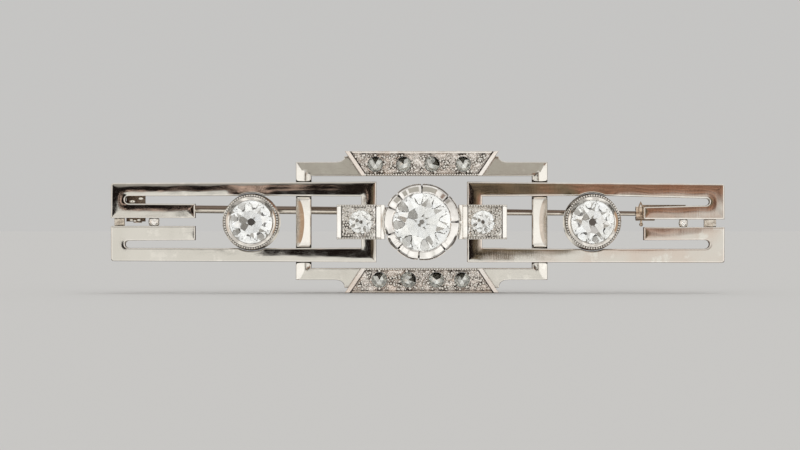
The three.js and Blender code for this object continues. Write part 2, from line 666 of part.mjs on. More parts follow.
addPiece('centre_coronet', coronet(), WHITE_GOLD, 0.12);
addPiece('coronet_base_ring', baseRing(), SATIN_GOLD, 0.3);
addStone('centre_diamond', oldCut(CENTRE_STONE_DIAMETER, CENTRE_CULET), 0, 0, CENTRE_STONE_LEVEL, 0.12);

TOP_ROSES_X.forEach((x, index) => {
  addStone(`top_rose_${index + 1}`, roseCut(), x, ROSE_ROW, ROSE_LEVEL, 0.4 * index);
});
BOTTOM_ROSES_X.forEach((x, index) => {
  addStone(`bottom_rose_${index + 1}`, roseCut(), x, -ROSE_ROW, ROSE_LEVEL, 0.7 * index);
});

addPiece('hinge_joint', hingeJoint(), WARM_GOLD, 0.25);
addPiece('hinge_rivet', hingeRivet(), WARM_GOLD, 0.3);
addPiece('pin_stem', pinStem(), SATIN_GOLD, 0.2);
addPiece('catch_body', catchBody(), WARM_GOLD, 0.2);
addPiece('catch_sleeve', catchSleeve(), WARM_GOLD, 0.2);

bench.updateMatrixWorld(true);
const middle = new THREE.Box3().setFromObject(bench, true).getCenter(new THREE.Vector3());
bench.position.sub(middle);

export default brooch;
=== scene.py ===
"""Looks of an open-work diamond bar brooch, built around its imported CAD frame. Blender 4.5, metres.

Pieces are drawn in bench millimetres, as the CAD is: x right, y up and z towards the viewer, with
z = 0 at the centre frame's back plane and x = y = 0 on the centre stone's axis. world() turns bench
points into the frame's metres. Places and sizes come from the CAD nodes; the constants below are
only the fine work: rounding, milgrain, grains, facets and wear.
"""
import json
import math
import random

import bpy
import numpy as np
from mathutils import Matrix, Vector
from mathutils.geometry import delaunay_2d_cdt

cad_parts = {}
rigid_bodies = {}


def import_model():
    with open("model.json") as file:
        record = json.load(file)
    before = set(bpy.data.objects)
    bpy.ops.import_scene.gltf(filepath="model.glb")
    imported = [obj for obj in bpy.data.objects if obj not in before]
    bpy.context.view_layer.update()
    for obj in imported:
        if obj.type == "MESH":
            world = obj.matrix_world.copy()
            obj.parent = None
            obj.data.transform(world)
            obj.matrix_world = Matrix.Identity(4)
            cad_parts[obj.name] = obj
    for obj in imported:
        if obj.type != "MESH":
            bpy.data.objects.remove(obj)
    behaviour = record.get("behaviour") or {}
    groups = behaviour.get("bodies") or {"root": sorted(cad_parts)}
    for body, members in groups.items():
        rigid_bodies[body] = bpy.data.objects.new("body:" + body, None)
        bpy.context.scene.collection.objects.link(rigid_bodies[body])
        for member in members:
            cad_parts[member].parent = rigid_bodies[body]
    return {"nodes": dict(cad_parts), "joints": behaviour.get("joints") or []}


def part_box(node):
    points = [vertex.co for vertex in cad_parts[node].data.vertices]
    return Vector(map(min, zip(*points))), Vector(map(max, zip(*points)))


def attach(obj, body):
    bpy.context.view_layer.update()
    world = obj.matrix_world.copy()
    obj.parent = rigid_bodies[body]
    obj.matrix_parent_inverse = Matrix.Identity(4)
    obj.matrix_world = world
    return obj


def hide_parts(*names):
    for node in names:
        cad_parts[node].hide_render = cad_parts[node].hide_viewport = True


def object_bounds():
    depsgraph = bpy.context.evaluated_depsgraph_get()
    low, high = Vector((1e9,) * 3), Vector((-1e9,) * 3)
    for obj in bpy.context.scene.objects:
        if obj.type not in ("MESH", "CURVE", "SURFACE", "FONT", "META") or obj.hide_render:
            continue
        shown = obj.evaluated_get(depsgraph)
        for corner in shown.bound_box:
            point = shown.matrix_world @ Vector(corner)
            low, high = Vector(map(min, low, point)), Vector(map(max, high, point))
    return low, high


for leftover in list(bpy.data.objects):
    bpy.data.objects.remove(leftover)
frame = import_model()
cad_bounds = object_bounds()

MM = 0.001
TAU = 2 * math.pi

# Edges: rounding of sheet fronts, and the angles above which a mesh edge is shaded sharp
ROUNDING_STEPS = 5
BACK_CHAMFER = 0.07
SHARP_ANGLE = math.radians(32)
CREASE_ANGLE = math.radians(14)
PETAL_CREASE = math.radians(13)

# Sheet grids: row distance and least distances from edges and guides, in grid spacings
ROW_PITCH = 0.87
EDGE_CLEARANCE = 0.45
GUIDE_CLEARANCE = 0.4
FLAT_WITHIN = 0.003

# Milgrain beads along edges; gain of the bright-cut waves, width of the rims round stones, and the
# share of spots on a field that keep their grain
MILGRAIN_PITCH = 0.25
MILGRAIN_RADIUS = 0.122
MILGRAIN_INSET = 0.11
CUT_GAIN = 2.2
RIM_WIDTH = 0.12
GRAIN_SHARE = 0.82

# Stones: play in the seat, and the share of a stone's radius that its seat hole has
STONE_PLAY = 0.04
SEAT_SHARE = 0.95

# Wings: half width of the gap between the fingers, and the fingers' far edges
HALF_GAP = 0.3
FINGER_EDGE = 1.85

# Centre frame: how far it flares beyond its plain rails, at the pave bars, and its notches' rounding
FLARE_RISE = 0.57
NOTCH_ROUNDING = 0.13

# Saw cuts that part the coronet's petals, in degrees round the centre stone
CORONET_CUTS = (0, 44, 90, 132, 156, 201, 228, 265, 310)
CUT_HALF_WIDTH = 1.35

# Camera, as the object is seen: level, straight on, framed 80 mm wide
LENS = 135.0
SENSOR = 36.0
VIEW_WIDTH = 80.0
VIEW_SHIFT_X = -2.18
VIEW_SHIFT_Z = -0.3


# ---------- places ----------

stone_low, stone_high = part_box("centre_diamond")
AXIS_X = (stone_low.x + stone_high.x) / 2
AXIS_Z = (stone_low.z + stone_high.z) / 2
BACK_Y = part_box("centre_frame")[1].y


def world(points):
    """Bench millimetres to frame metres, for an array of points."""
    points = np.asarray(points, float).reshape(-1, 3)
    x, y, z = points.T * MM
    return np.column_stack((AXIS_X + x, BACK_Y - z, AXIS_Z + y))


def bench(points):
    """Frame metres to bench millimetres."""
    x, y, z = np.asarray(points, float).reshape(-1, 3).T
    return np.column_stack((x - AXIS_X, z - AXIS_Z, BACK_Y - y)) / MM


def bench_box(node):
    """Lowest and highest corner of a CAD node on the bench."""
    corners = bench([list(corner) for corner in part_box(node)])
    return corners.min(0), corners.max(0)


def round_place(node):
    """Bench centre and radius of a CAD node that is round from the front."""
    low, high = bench_box(node)
    return (low + high) / 2, (high[0] - low[0]) / 2


def levels(node):
    """Back and front of a CAD node on the bench."""
    low, high = bench_box(node)
    return low[2], high[2]


def joint_place(name):
    """Bench position of a joint."""
    joint = next(j for j in frame["joints"] if j["name"] == name)
    return bench([joint["pos_m"]])[0]


def cad_outlines(node, level):
    """Closed outlines of a CAD node's flat faces at one bench level, largest first."""
    mesh = frame["nodes"][node].data
    points = bench([list(vertex.co) for vertex in mesh.vertices])
    following = {}
    for polygon in mesh.polygons:
        corners = points[list(polygon.vertices)]
        if np.abs(corners[:, 2] - level).max() > FLAT_WITHIN:
            continue
        keys = [(round(x, 3), round(y, 3)) for x, y, _ in corners]
        for start, end in zip(keys, keys[1:] + keys[:1]):
            if start in following.get(end, set()):
                following[end].discard(start)
            else:
                following.setdefault(start, set()).add(end)
    outlines = []
    while any(following.values()):
        start = next(key for key, ends in following.items() if ends)
        loop = [start]
        while following.get(loop[-1]):
            loop.append(following[loop[-1]].pop())
            if loop[-1] == start:
                break
        outlines.append(np.array(loop[:-1]))
    outlines.sort(key=lambda loop: -abs(area(loop)))
    return [loop if (area(loop) > 0) == (index == 0) else loop[::-1] for index, loop in enumerate(outlines)]


# ---------- plane geometry ----------

def area(loop):
    """Signed area, positive when the loop runs anticlockwise."""
    x, y = np.asarray(loop).T
    return float(np.sum(x * np.roll(y, -1) - y * np.roll(x, -1)) / 2)


def circle(x, y, radius, count, clockwise=False):
    """Points round a circle; a hole in a sheet runs clockwise."""
    angles = np.arange(count) * TAU / count * (-1 if clockwise else 1)
    return np.column_stack((x + radius * np.cos(angles), y + radius * np.sin(angles)))


def rectangle(x0, x1, y0, y1):
    """Corners, anticlockwise."""
    return np.array([(x0, y0), (x1, y0), (x1, y1), (x0, y1)])


def resampled(loop, spacing):
    """The closed loop with its long edges divided."""
    points = []
    for start, end in zip(loop, np.roll(loop, -1, axis=0)):
        pieces = max(1, math.ceil(np.linalg.norm(end - start) / spacing))
        points.extend(start + (end - start) * step / pieces for step in range(pieces))
    return np.array(points)


def inset(loop, distance):
    """The loop moved to its left, mitred at the corners."""
    ahead = np.roll(loop, -1, axis=0) - loop
    ahead /= np.linalg.norm(ahead, axis=1)[:, None]
    left = np.column_stack((-ahead[:, 1], ahead[:, 0]))
    before = np.roll(left, 1, axis=0)
    mitre = (left + before) / np.maximum(1 + np.sum(left * before, axis=1), 0.4)[:, None]
    return loop + mitre * distance


def distance_to(points, loops):
    """Distance of each point to the nearest edge of the loops; edges without length are left out."""
    nearest = np.full(len(points), np.inf)
    for loop in loops:
        ends = np.roll(loop, -1, axis=0)
        for start, run in zip(loop, ends - loop):
            if not run.any():
                continue
            share = np.clip((points - start) @ run / (run @ run), 0, 1)
            gap = points - start - share[:, None] * run
            nearest = np.minimum(nearest, np.einsum("ij,ij->i", gap, gap))
    return np.sqrt(nearest)


def is_inside(points, loops):
    """Which points lie inside the outlines, holes counted out."""
    inside = np.zeros(len(points), bool)
    x, y = points.T
    for loop in loops:
        for (x0, y0), (x1, y1) in zip(loop, np.roll(loop, -1, axis=0)):
            if y0 == y1:
                continue
            crosses = (y0 > y) != (y1 > y)
            inside ^= crosses & (x < x0 + (y - y0) * (x1 - x0) / (y1 - y0))
    return inside


def waves(seed, lengths, height):
    """A smooth, repeatable unevenness of a hand-worked surface: a sum of crossed sine waves."""
    draw = random.Random(seed)
    terms = []
    for length in lengths:
        angle = draw.uniform(0, TAU)
        phase = draw.uniform(0, TAU)
        terms.append((math.cos(angle) * TAU / length, math.sin(angle) * TAU / length, phase))

    def level(x, y):
        total = sum(np.sin(kx * x + ky * y + phase) for kx, ky, phase in terms)
        return height * total / len(terms)
    return level


# ---------- mesh pieces ----------

def add_object(name, data):
    added = bpy.data.objects.new(name, data)
    bpy.context.scene.collection.objects.link(added)
    return added


def finish_piece(name, mesh, material, stands_for=None, body="brooch",
                 sharp=SHARP_ANGLE):
    """Makes an object of (vertices, faces), shades it, and ties it to its CAD body and node."""
    vertices, faces = mesh
    data = bpy.data.meshes.new(name)
    data.from_pydata(world(vertices).tolist(), [], [list(map(int, face)) for face in faces])
    data.validate()
    data.shade_smooth()
    data.set_sharp_from_angle(angle=sharp)
    data.materials.append(material)
    piece = add_object(name, data)
    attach(piece, body)
    if stands_for:
        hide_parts(stands_for)
    return piece


def weighted(piece):
    """Keeps broad faces flat where they meet rounded edges."""
    modifier = piece.modifiers.new("weighted", "WEIGHTED_NORMAL")
    modifier.keep_sharp = True
    modifier.weight = 90


def sheet_mesh(loops, back, height, spacing, rounding, guides=(), borders=(0.03,)):
    """Vertices and faces of a plate whose front follows height(x, y, edge distance).

    borders are the distances, inside the rounded edge, of rows of points that run along the edge.
    """
    loops = [resampled(loop, spacing) for loop in loops]
    turns = np.linspace(0, math.pi / 2, ROUNDING_STEPS + 1)
    depths = [rounding * (1 - math.cos(turn)) for turn in turns]
    depths += [rounding + border for border in borders]
    rings = [inset(loop, depth) for depth in depths for loop in loops]
    points, edges = [], []
    for ring in rings:
        first = len(points)
        points.extend(ring)
        edges.extend((first + i, first + (i + 1) % len(ring)) for i in range(len(ring)))
    for guide in guides:
        first = len(points)
        points.extend(guide)
        edges.extend((first + i, first + i + 1) for i in range(len(guide) - 1))
    low, high = loops[0].min(0), loops[0].max(0)
    columns = np.arange(low[0] + spacing / 2, high[0], spacing)
    rows = np.arange(low[1] + spacing / 2, high[1], spacing * ROW_PITCH)
    grid = np.array([(x + (index % 2) * spacing / 2, y) for index, y in enumerate(rows) for x in columns])
    kept = is_inside(grid, loops) & (distance_to(grid, loops) > depths[-1] + spacing * EDGE_CLEARANCE)
    grid = grid[kept]
    if guides:
        ends = [np.vstack((guide, guide[::-1])) for guide in guides]
        grid = grid[distance_to(grid, ends) > spacing * GUIDE_CLEARANCE]
    points.extend(grid)
    flat, _, triangles, _, _, _ = delaunay_2d_cdt([Vector(p) for p in points], edges, [], 0, 1e-6)
    flat = np.array([tuple(v) for v in flat])
    triangles = np.array(triangles)
    triangles = triangles[is_inside(flat[triangles].mean(axis=1), loops)]
    used, triangles = np.unique(triangles, return_inverse=True)
    triangles = triangles.reshape(-1, 3)
    flat = flat[used]
    x, y = flat.T
    edge = distance_to(flat, loops)
    reach = np.clip(1 - edge / rounding, 0, 1)
    front = height(x, y, edge) - rounding * (1 - np.sqrt(1 - reach ** 2))
    rear = back + np.clip(BACK_CHAMFER - edge, 0, None)
    count = len(flat)
    vertices = np.vstack((np.column_stack((x, y, front)), np.column_stack((x, y, rear))))
    directed = {(a, b) for tri in triangles for a, b in zip(tri, np.roll(tri, -1))}
    border = [(a, b) for a, b in directed if (b, a) not in directed]
    faces = [tuple(tri) for tri in triangles]
    faces += [tuple(count + corner for corner in tri[::-1]) for tri in triangles]
    faces += [(b, a, count + a, count + b) for a, b in sorted(border)]
    return vertices, faces


def ring_faces(around, across):
    """Quads of a closed tube of vertices, `around` sections of `across` points."""
    faces = []
    for i in range(around):
        for j in range(across):
            following, beside = (i + 1) % around, (j + 1) % across
            faces.append((i * across + j, following * across + j,
                          following * across + beside, i * across + beside))
    return faces


def lathe_mesh(profile, segments, centre=(0, 0)):
    """Vertices and faces of a closed (radius, level) profile turned about the bench z axis."""
    radii, heights = np.array(profile).T
    rows = [
        np.column_stack((centre[0] + radii * x, centre[1] + radii * y, heights))
        for x, y in circle(0, 0, 1, segments)
    ]
    return np.vstack(rows), ring_faces(segments, len(profile))


def arc_mesh(profile, facing, half_angle, steps, centre, bumps, seed):
    """A closed piece of a turned profile, tapering away at both ends, a little scalloped."""
    phase = random.Random(seed).uniform(0, TAU)
    radii, heights = np.array(profile).T
    inner = radii.min()
    sections = []
    for share in np.linspace(-1, 1, steps + 1):
        angle = facing + half_angle * share
        scallop = 1 - bumps * (1 + math.sin(9 * share * math.pi + phase))
        reach = inner + (radii - inner) * math.sqrt(1 - share ** 4) * scallop
        x, y = centre[0] + reach * math.cos(angle), centre[1] + reach * math.sin(angle)
        sections.append(np.column_stack((x, y, heights)))
    across = len(profile)
    faces = ring_faces(steps + 1, across)[:steps * across]
    faces.append(tuple(range(across))[::-1])
    faces.append(tuple(steps * across + corner for corner in range(across)))
    return np.vstack(sections), faces


def offsets(radius, level, *steps):
    """Profile points stepped off from one (radius, level)."""
    return [(radius + outward, level + up) for outward, up in steps]


def washer(bore, radius, low, high, inner, lower, upper):
    """Profile of a ring with chamfers: inner at its bore, lower and upper at its outside."""
    return [
        (bore, low + inner), (bore + inner, low), (radius - lower, low), (radius, low + lower),
        (radius, high - upper), (radius - upper, high), (bore + inner, high), (bore, high - inner),
    ]


def bead_mesh(centres, radii, flatten, segments, rings):
    """Many small balls in one mesh, their depth scaled by flatten."""
    template = [(0.0, 0.0, 1.0)]
    for ring in range(1, rings):
        tilt = math.pi * ring / rings
        template += [(x, y, math.cos(tilt)) for x, y in circle(0, 0, math.sin(tilt), segments)]
    template.append((0.0, 0.0, -1.0))
    template = np.array(template) * (1, 1, flatten)
    last = len(template) - 1
    bottom = last - segments
    ball = []
    for s in range(segments):
        t = (s + 1) % segments
        ball.append((0, 1 + s, 1 + t))
        for base in range(1, bottom, segments):
            ball.append((base + s, base + segments + s, base + segments + t, base + t))
        ball.append((bottom + s, last, bottom + t))
    vertices, faces = [], []
    for number, (centre, radius) in enumerate(zip(centres, radii)):
        vertices.append(template * radius + np.array(centre))
        faces += [tuple(number * len(template) + corner for corner in face) for face in ball]
    return np.vstack(vertices), faces


# ---------- materials ----------

EVEN = (1, 1, 1)


class Nodes:
    """Small helper that adds shader nodes and links them."""

    def __init__(self, tree):
        self.tree = tree
        tree.nodes.clear()

    def feed(self, socket, value):
        """Links a socket, or gives it a plain value."""
        if isinstance(value, bpy.types.NodeSocket):
            self.tree.links.new(value, socket)
        else:
            socket.default_value = value

    def add(self, kind, inputs=None, **settings):
        node = self.tree.nodes.new(kind)
        for key, value in settings.items():
            setattr(node, key, value)
        for key, value in (inputs or {}).items():
            self.feed(node.inputs[key], value)
        return node

    def math(self, operation, *values):
        node = self.add("ShaderNodeMath", operation=operation)
        for socket, value in zip(node.inputs, values):
            self.feed(socket, value)
        return node.outputs[0]

    def product(self, first, *others):
        for other in others:
            first = self.math("MULTIPLY", first, other)
        return first

    def ramp(self, value, low, high, start=0.0, end=1.0):
        """Smooth step of value from low to high."""
        node = self.add("ShaderNodeMapRange", {
            "Value": value, "From Min": low, "From Max": high, "To Min": start, "To Max": end,
        }, interpolation_type="SMOOTHSTEP")
        return node.outputs["Result"]

    def band(self, value, start, full, fade, end):
        """One between full and fade, easing to zero at start and end."""
        return self.product(self.ramp(value, start, full), self.ramp(value, end, fade))

    def mix(self, share, first, second):
        node = self.add("ShaderNodeMix", data_type="RGBA")
        for index, value in ((0, share), (6, first), (7, second)):
            self.feed(node.inputs[index], (*value, 1.0) if isinstance(value, tuple) else value)
        return node.outputs[2]

    def scaled(self, vector, factors):
        node = self.add("ShaderNodeVectorMath", {0: vector, 1: factors}, operation="MULTIPLY")
        return node.outputs[0]

    def noise_at(self, vector, scale, detail, roughness=0.5):
        """Noise over any vector."""
        inputs = {"Vector": vector, "Scale": scale, "Detail": detail, "Roughness": roughness}
        return self.add("ShaderNodeTexNoise", inputs).outputs["Fac"]

    def noise(self, scale, detail, stretch=EVEN, roughness=0.5):
        """Noise over object coordinates, with scale in waves per millimetre."""
        place = self.add("ShaderNodeTexCoord").outputs["Object"]
        factors = [scale / MM * share for share in stretch]
        return self.noise_at(self.scaled(place, factors), 1.0, detail, roughness)

    def normal(self, kind):
        """The three parts of a normal of the surface."""
        vector = self.add("ShaderNodeNewGeometry").outputs[kind]
        return self.add("ShaderNodeSeparateXYZ", {"Vector": vector}).outputs

    def finish(self, surface, target="Material"):
        """Sends a shader to the output."""
        self.add("ShaderNodeOutput" + target, {"Surface": surface.outputs[0]})


def new_material(name):
    """A material and the helper for its emptied node tree."""
    material = bpy.data.materials.new(name)
    material.use_nodes = True
    return material, Nodes(material.node_tree)


def metal(name, color, dark, roughness, scratch, stretch=EVEN, grain=0.0, crevice=0.3, upper=None):
    """Worked gold: tone drift, fine scratches, brighter rubbed patches, and painted shade in the crevices.

    crevice is how far neighbouring metal reaches to darken the surface with painted shade. upper is a
    painted shade colour for the side facing up.
    """
    material, nodes = new_material(name)
    drift = nodes.noise(0.25, 2.0)
    scratches = nodes.noise(9.0, 4.0, stretch, 0.6)
    patches = nodes.noise(1.1, 3.0)
    rubbed = nodes.noise(0.8, 3.0)
    tone = nodes.mix(nodes.ramp(drift, 0.35, 0.7), color, dark)
    bright = tuple(min(1.0, channel * 1.06 + 0.02) for channel in color)
    tone = nodes.mix(nodes.ramp(rubbed, 0.56, 0.7), tone, bright)
    # Painted shade: surfaces facing up are darkened towards the upper colour
    if upper:
        tone = nodes.mix(nodes.ramp(nodes.normal("Normal")["Z"], -0.2, 0.1), tone, upper)
    # Painted shade: ambient occlusion darkens sheltered metal towards a dark brown, deepest in narrow
    # recesses
    shelter = nodes.add("ShaderNodeAmbientOcclusion", {"Distance": crevice * MM}, samples=6)
    tone = nodes.mix(nodes.ramp(shelter.outputs["AO"], 0.3, 0.72), CREVICE_SHADE, tone)
    rough = nodes.math("ADD", nodes.ramp(patches, 0.3, 0.75, roughness * 0.7, roughness * 1.35),
                       nodes.ramp(scratches, 0.45, 0.8, 0.0, roughness * 0.8))
    grains = nodes.product(nodes.noise(30.0, 2.0), grain)
    height = nodes.math("ADD", nodes.product(scratches, scratch), grains)
    bump = nodes.add("ShaderNodeBump", {"Strength": 1.0, "Distance": MM, "Height": height})
    nodes.finish(nodes.add("ShaderNodeBsdfPrincipled", {
        "Base Color": tone, "Metallic": 1.0, "Roughness": rough, "Normal": bump.outputs["Normal"],
    }))
    return material


def diamond(name, tint):
    """Clear stone with a faint body tint and slightly uneven polish."""
    material, nodes = new_material(name)
    cloud = nodes.noise(0.8, 2.0)
    color = nodes.mix(nodes.ramp(cloud, 0.3, 0.7), (0.985, 0.99, 0.992), tint)
    polish = nodes.ramp(nodes.noise(6.0, 2.0), 0.45, 0.8, 0.0, 0.012)
    nodes.finish(nodes.add("ShaderNodeBsdfGlass", {"Color": color, "Roughness": polish, "IOR": 2.417}))
    return material


def rose_diamond(name):
    """Pale, shallow stone: its facets mirror softly, and those facing one way get a painted dark
    reflection.
    """
    material, nodes = new_material(name)
    cloud = nodes.noise(2.0, 2.0)
    turn = nodes.math("MULTIPLY_ADD", nodes.add("ShaderNodeObjectInfo").outputs["Random"], 1.6, 0.4)
    away = nodes.normal("True Normal")
    sideways = nodes.product(away["X"], nodes.math("COSINE", turn))
    upward = nodes.product(away["Z"], nodes.math("SINE", turn))
    slant = nodes.math("SQRT", nodes.math("SUBTRACT", 1.001, nodes.math("POWER", away["Y"], 2.0)))
    share = nodes.math("DIVIDE", nodes.math("ADD", sideways, upward), slant)
    # Painted reflection: facets facing one way, turned per stone, are coloured near black in the glossy
    # part and darker in the glass
    dark = nodes.ramp(share, 0.7, 0.78)
    clear = nodes.mix(nodes.ramp(cloud, 0.35, 0.65), (0.93, 0.95, 0.92), (0.74, 0.75, 0.72))
    body = nodes.mix(dark, clear, (0.07, 0.066, 0.055))
    depth = nodes.mix(dark, (0.97, 0.975, 0.97), (0.35, 0.34, 0.32))
    glass = nodes.add("ShaderNodeBsdfGlass", {"Color": depth, "Roughness": 0.0, "IOR": 1.7})
    facets = nodes.add("ShaderNodeBsdfGlossy", {"Color": body, "Roughness": 0.17})
    nodes.finish(nodes.add("ShaderNodeMixShader", {0: 0.78, 1: glass.outputs[0], 2: facets.outputs[0]}))
    return material


BRIGHT_GOLD = (0.87, 0.845, 0.80)
GREY_GOLD = (0.82, 0.795, 0.745)
WARM_GOLD = (0.78, 0.655, 0.53)
ROSE_TONE = (0.84, 0.74, 0.67)
# Dark brown painted into sheltered metal: painted shade in crevices and recesses
CREVICE_SHADE = (0.055, 0.036, 0.026)

# Each gold: name, tone, second tone, roughness, depth of scratches, their stretch along x, y and z,
# depth of grain, and how far the painted crevice shade reaches (all in millimetres)
polished = metal("polished_white_gold", BRIGHT_GOLD, GREY_GOLD, 0.05, 0.0006, (0.12, 1, 1))
brushed = metal("brushed_white_gold", BRIGHT_GOLD, ROSE_TONE, 0.05, 0.0007, (1, 1, 0.08))
frame_metal = metal("satin_frame_gold", BRIGHT_GOLD, GREY_GOLD, 0.13, 0.0005, (0.1, 1, 1))
engraved = metal("bright_cut_gold", (0.94, 0.93, 0.905), BRIGHT_GOLD, 0.12, 0.003, EVEN, 0.004, 0.2)
pave_metal = metal("pave_cut_gold", (0.91, 0.87, 0.83), (0.81, 0.72, 0.65), 0.14, 0.003, EVEN, 0.006, 0.33)
bead_metal = metal("milgrain_gold", (0.95, 0.93, 0.89), BRIGHT_GOLD, 0.16, 0.0004, crevice=0.12)
solder = metal("solder_white_gold", (0.95, 0.93, 0.9), BRIGHT_GOLD, 0.2, 0.002, EVEN, 0.002, 0.15)
foil_metal = metal("foil_silver", (0.93, 0.93, 0.93), (0.8, 0.8, 0.81), 0.1, 0.01, EVEN, 0.003, 0.01)
petal_gold = metal("petal_white_gold", (0.92, 0.905, 0.88), (0.7, 0.68, 0.66), 0.07, 0.001, crevice=0.12)
# The collets and fittings have a long crevice reach, so painted shade darkens the collets' seat gaps and
# the hinge foot seen behind the wing
collet_gold = metal("turned_white_gold", BRIGHT_GOLD, GREY_GOLD, 0.05, 0.0006, crevice=1.1)
rough_gold = metal("unpolished_gold", GREY_GOLD, (0.74, 0.64, 0.52), 0.3, 0.004, EVEN, 0.004, 0.25)
fitting_gold = metal("fitting_gold", WARM_GOLD, (0.66, 0.48, 0.34), 0.16, 0.001, crevice=1.3)
# The pin wire's upper side is darkened with painted shade, as if shaded by the rails above it
pin_metal = metal("pin_wire_gold", (0.78, 0.73, 0.66), (0.66, 0.6, 0.52), 0.15, 0.0005, (0.06, 1, 1),
                  upper=(0.22, 0.17, 0.14))
clear_stone = diamond("old_cut_diamond", (0.97, 0.968, 0.955))
rose_stone = rose_diamond("rose_cut_diamond")


# ---------- wings ----------

def build_wing(name, material, softness, rounding, lean, end_share):
    """A pierced plate: rounded edges, faces pillowed by polishing, the whole a little domed.

    softness is the pillow's depth at the edges. lean is the slope of the lower finger, as bent by
    wear, and end_share how much of the pillow that finger's sawn end keeps.
    """
    low, high = bench_box(name)
    inner, outer = sorted((abs(low[0]), abs(high[0])))
    front = high[2]
    collet, collet_radius = round_place(name.replace("wing", "collet"))
    outline = np.abs(cad_outlines(name, front)[0])
    finger_end = outline[(outline[:, 1] < FINGER_EDGE) & (outline[:, 0] > outer / 2)][:, 0].min()
    uneven = waves(name, (8.0, 5.5, 3.4, 2.3), 0.006)

    def height(x, y, edge):
        along = np.clip((np.abs(x) - inner) / (outer - inner), 0, 1)
        dome = (0.05 + 0.06 * along) * (y / 4) ** 2
        by_gap = np.clip((np.abs(y) - HALF_GAP) / 0.9, 0.12, 1) * (along > 0.6) + (along <= 0.6)
        from_collet = np.hypot(x - collet[0], y - collet[1]) - collet_radius
        beside_collet = np.clip((from_collet - 0.15) / 0.9, 0, 1)
        below = np.clip(-y / 0.6, 0, 1)
        lower_finger = (y < -HALF_GAP) & (y > -FINGER_EDGE) & (along > 0.5)
        by_end = np.where(lower_finger, np.clip((np.abs(x) - finger_end) / 0.7, end_share, 1), 1)
        pillow = softness * (1 - 0.25 * below) * np.exp(-edge / (0.36 - 0.11 * below))
        pillow = pillow * by_gap * beside_collet * by_end
        towards_end = np.clip((outer - 2.2 - np.abs(x)) / 2.5, 0, 1)
        bent = lean * towards_end * lower_finger * (y + FINGER_EDGE)
        return front - 0.008 - dome - pillow + uneven(x, y) - bent

    mesh = sheet_mesh(cad_outlines(name, front), low[2], height, 0.22, rounding,
                      borders=(0.03, 0.12, 0.25))
    weighted(finish_piece(name + "_plate", mesh, material, name))


build_wing("left_wing", polished, 0.028, 0.11, 0.0, 0.3)
build_wing("right_wing", brushed, 0.020, 0.12, 0.024, 1.0)


def build_gap_pieces(side, width):
    """The blob of solder and the small block that tie a wing's two fingers."""
    low, high = bench_box(side + "_bead")
    middle = (low + high) / 2
    radius = (high[2] - low[2]) / 2
    vertices, faces = bead_mesh([middle], [radius], 1.0, 32, 20)
    across, up, out = ((vertices - middle) / radius).T
    lumps = 1 + 0.07 * np.sin(5.1 * across + 3.0 * up) * np.cos(6.3 * up) - 0.05 * np.cos(4.0 * across)
    vertices[:, 0] = middle[0] + across * radius * width * (1 + 0.12 * np.abs(up)) * lumps
    vertices[:, 1] = np.clip(middle[1] + up * radius * 1.25 * lumps, low[1], high[1])
    vertices[:, 2] = middle[2] + out * radius * np.minimum(lumps, 1)
    finish_piece(side + "_solder", (vertices, faces), solder, side + "_bead")
    low, high = bench_box(side + "_bridge")
    uneven_top = waves(side, (1.1, 0.7, 0.5), 0.05)

    def height(x, y, edge):
        return high[2] - 0.05 + uneven_top(x, y)

    block = sheet_mesh([rectangle(low[0], high[0], low[1], high[1])], low[2], height, 0.11, 0.07)
    finish_piece(side + "_tie_block", block, rough_gold, side + "_bridge")


build_gap_pieces("left", 1.2)
build_gap_pieces("right", 1.0)


# ---------- centre frame ----------

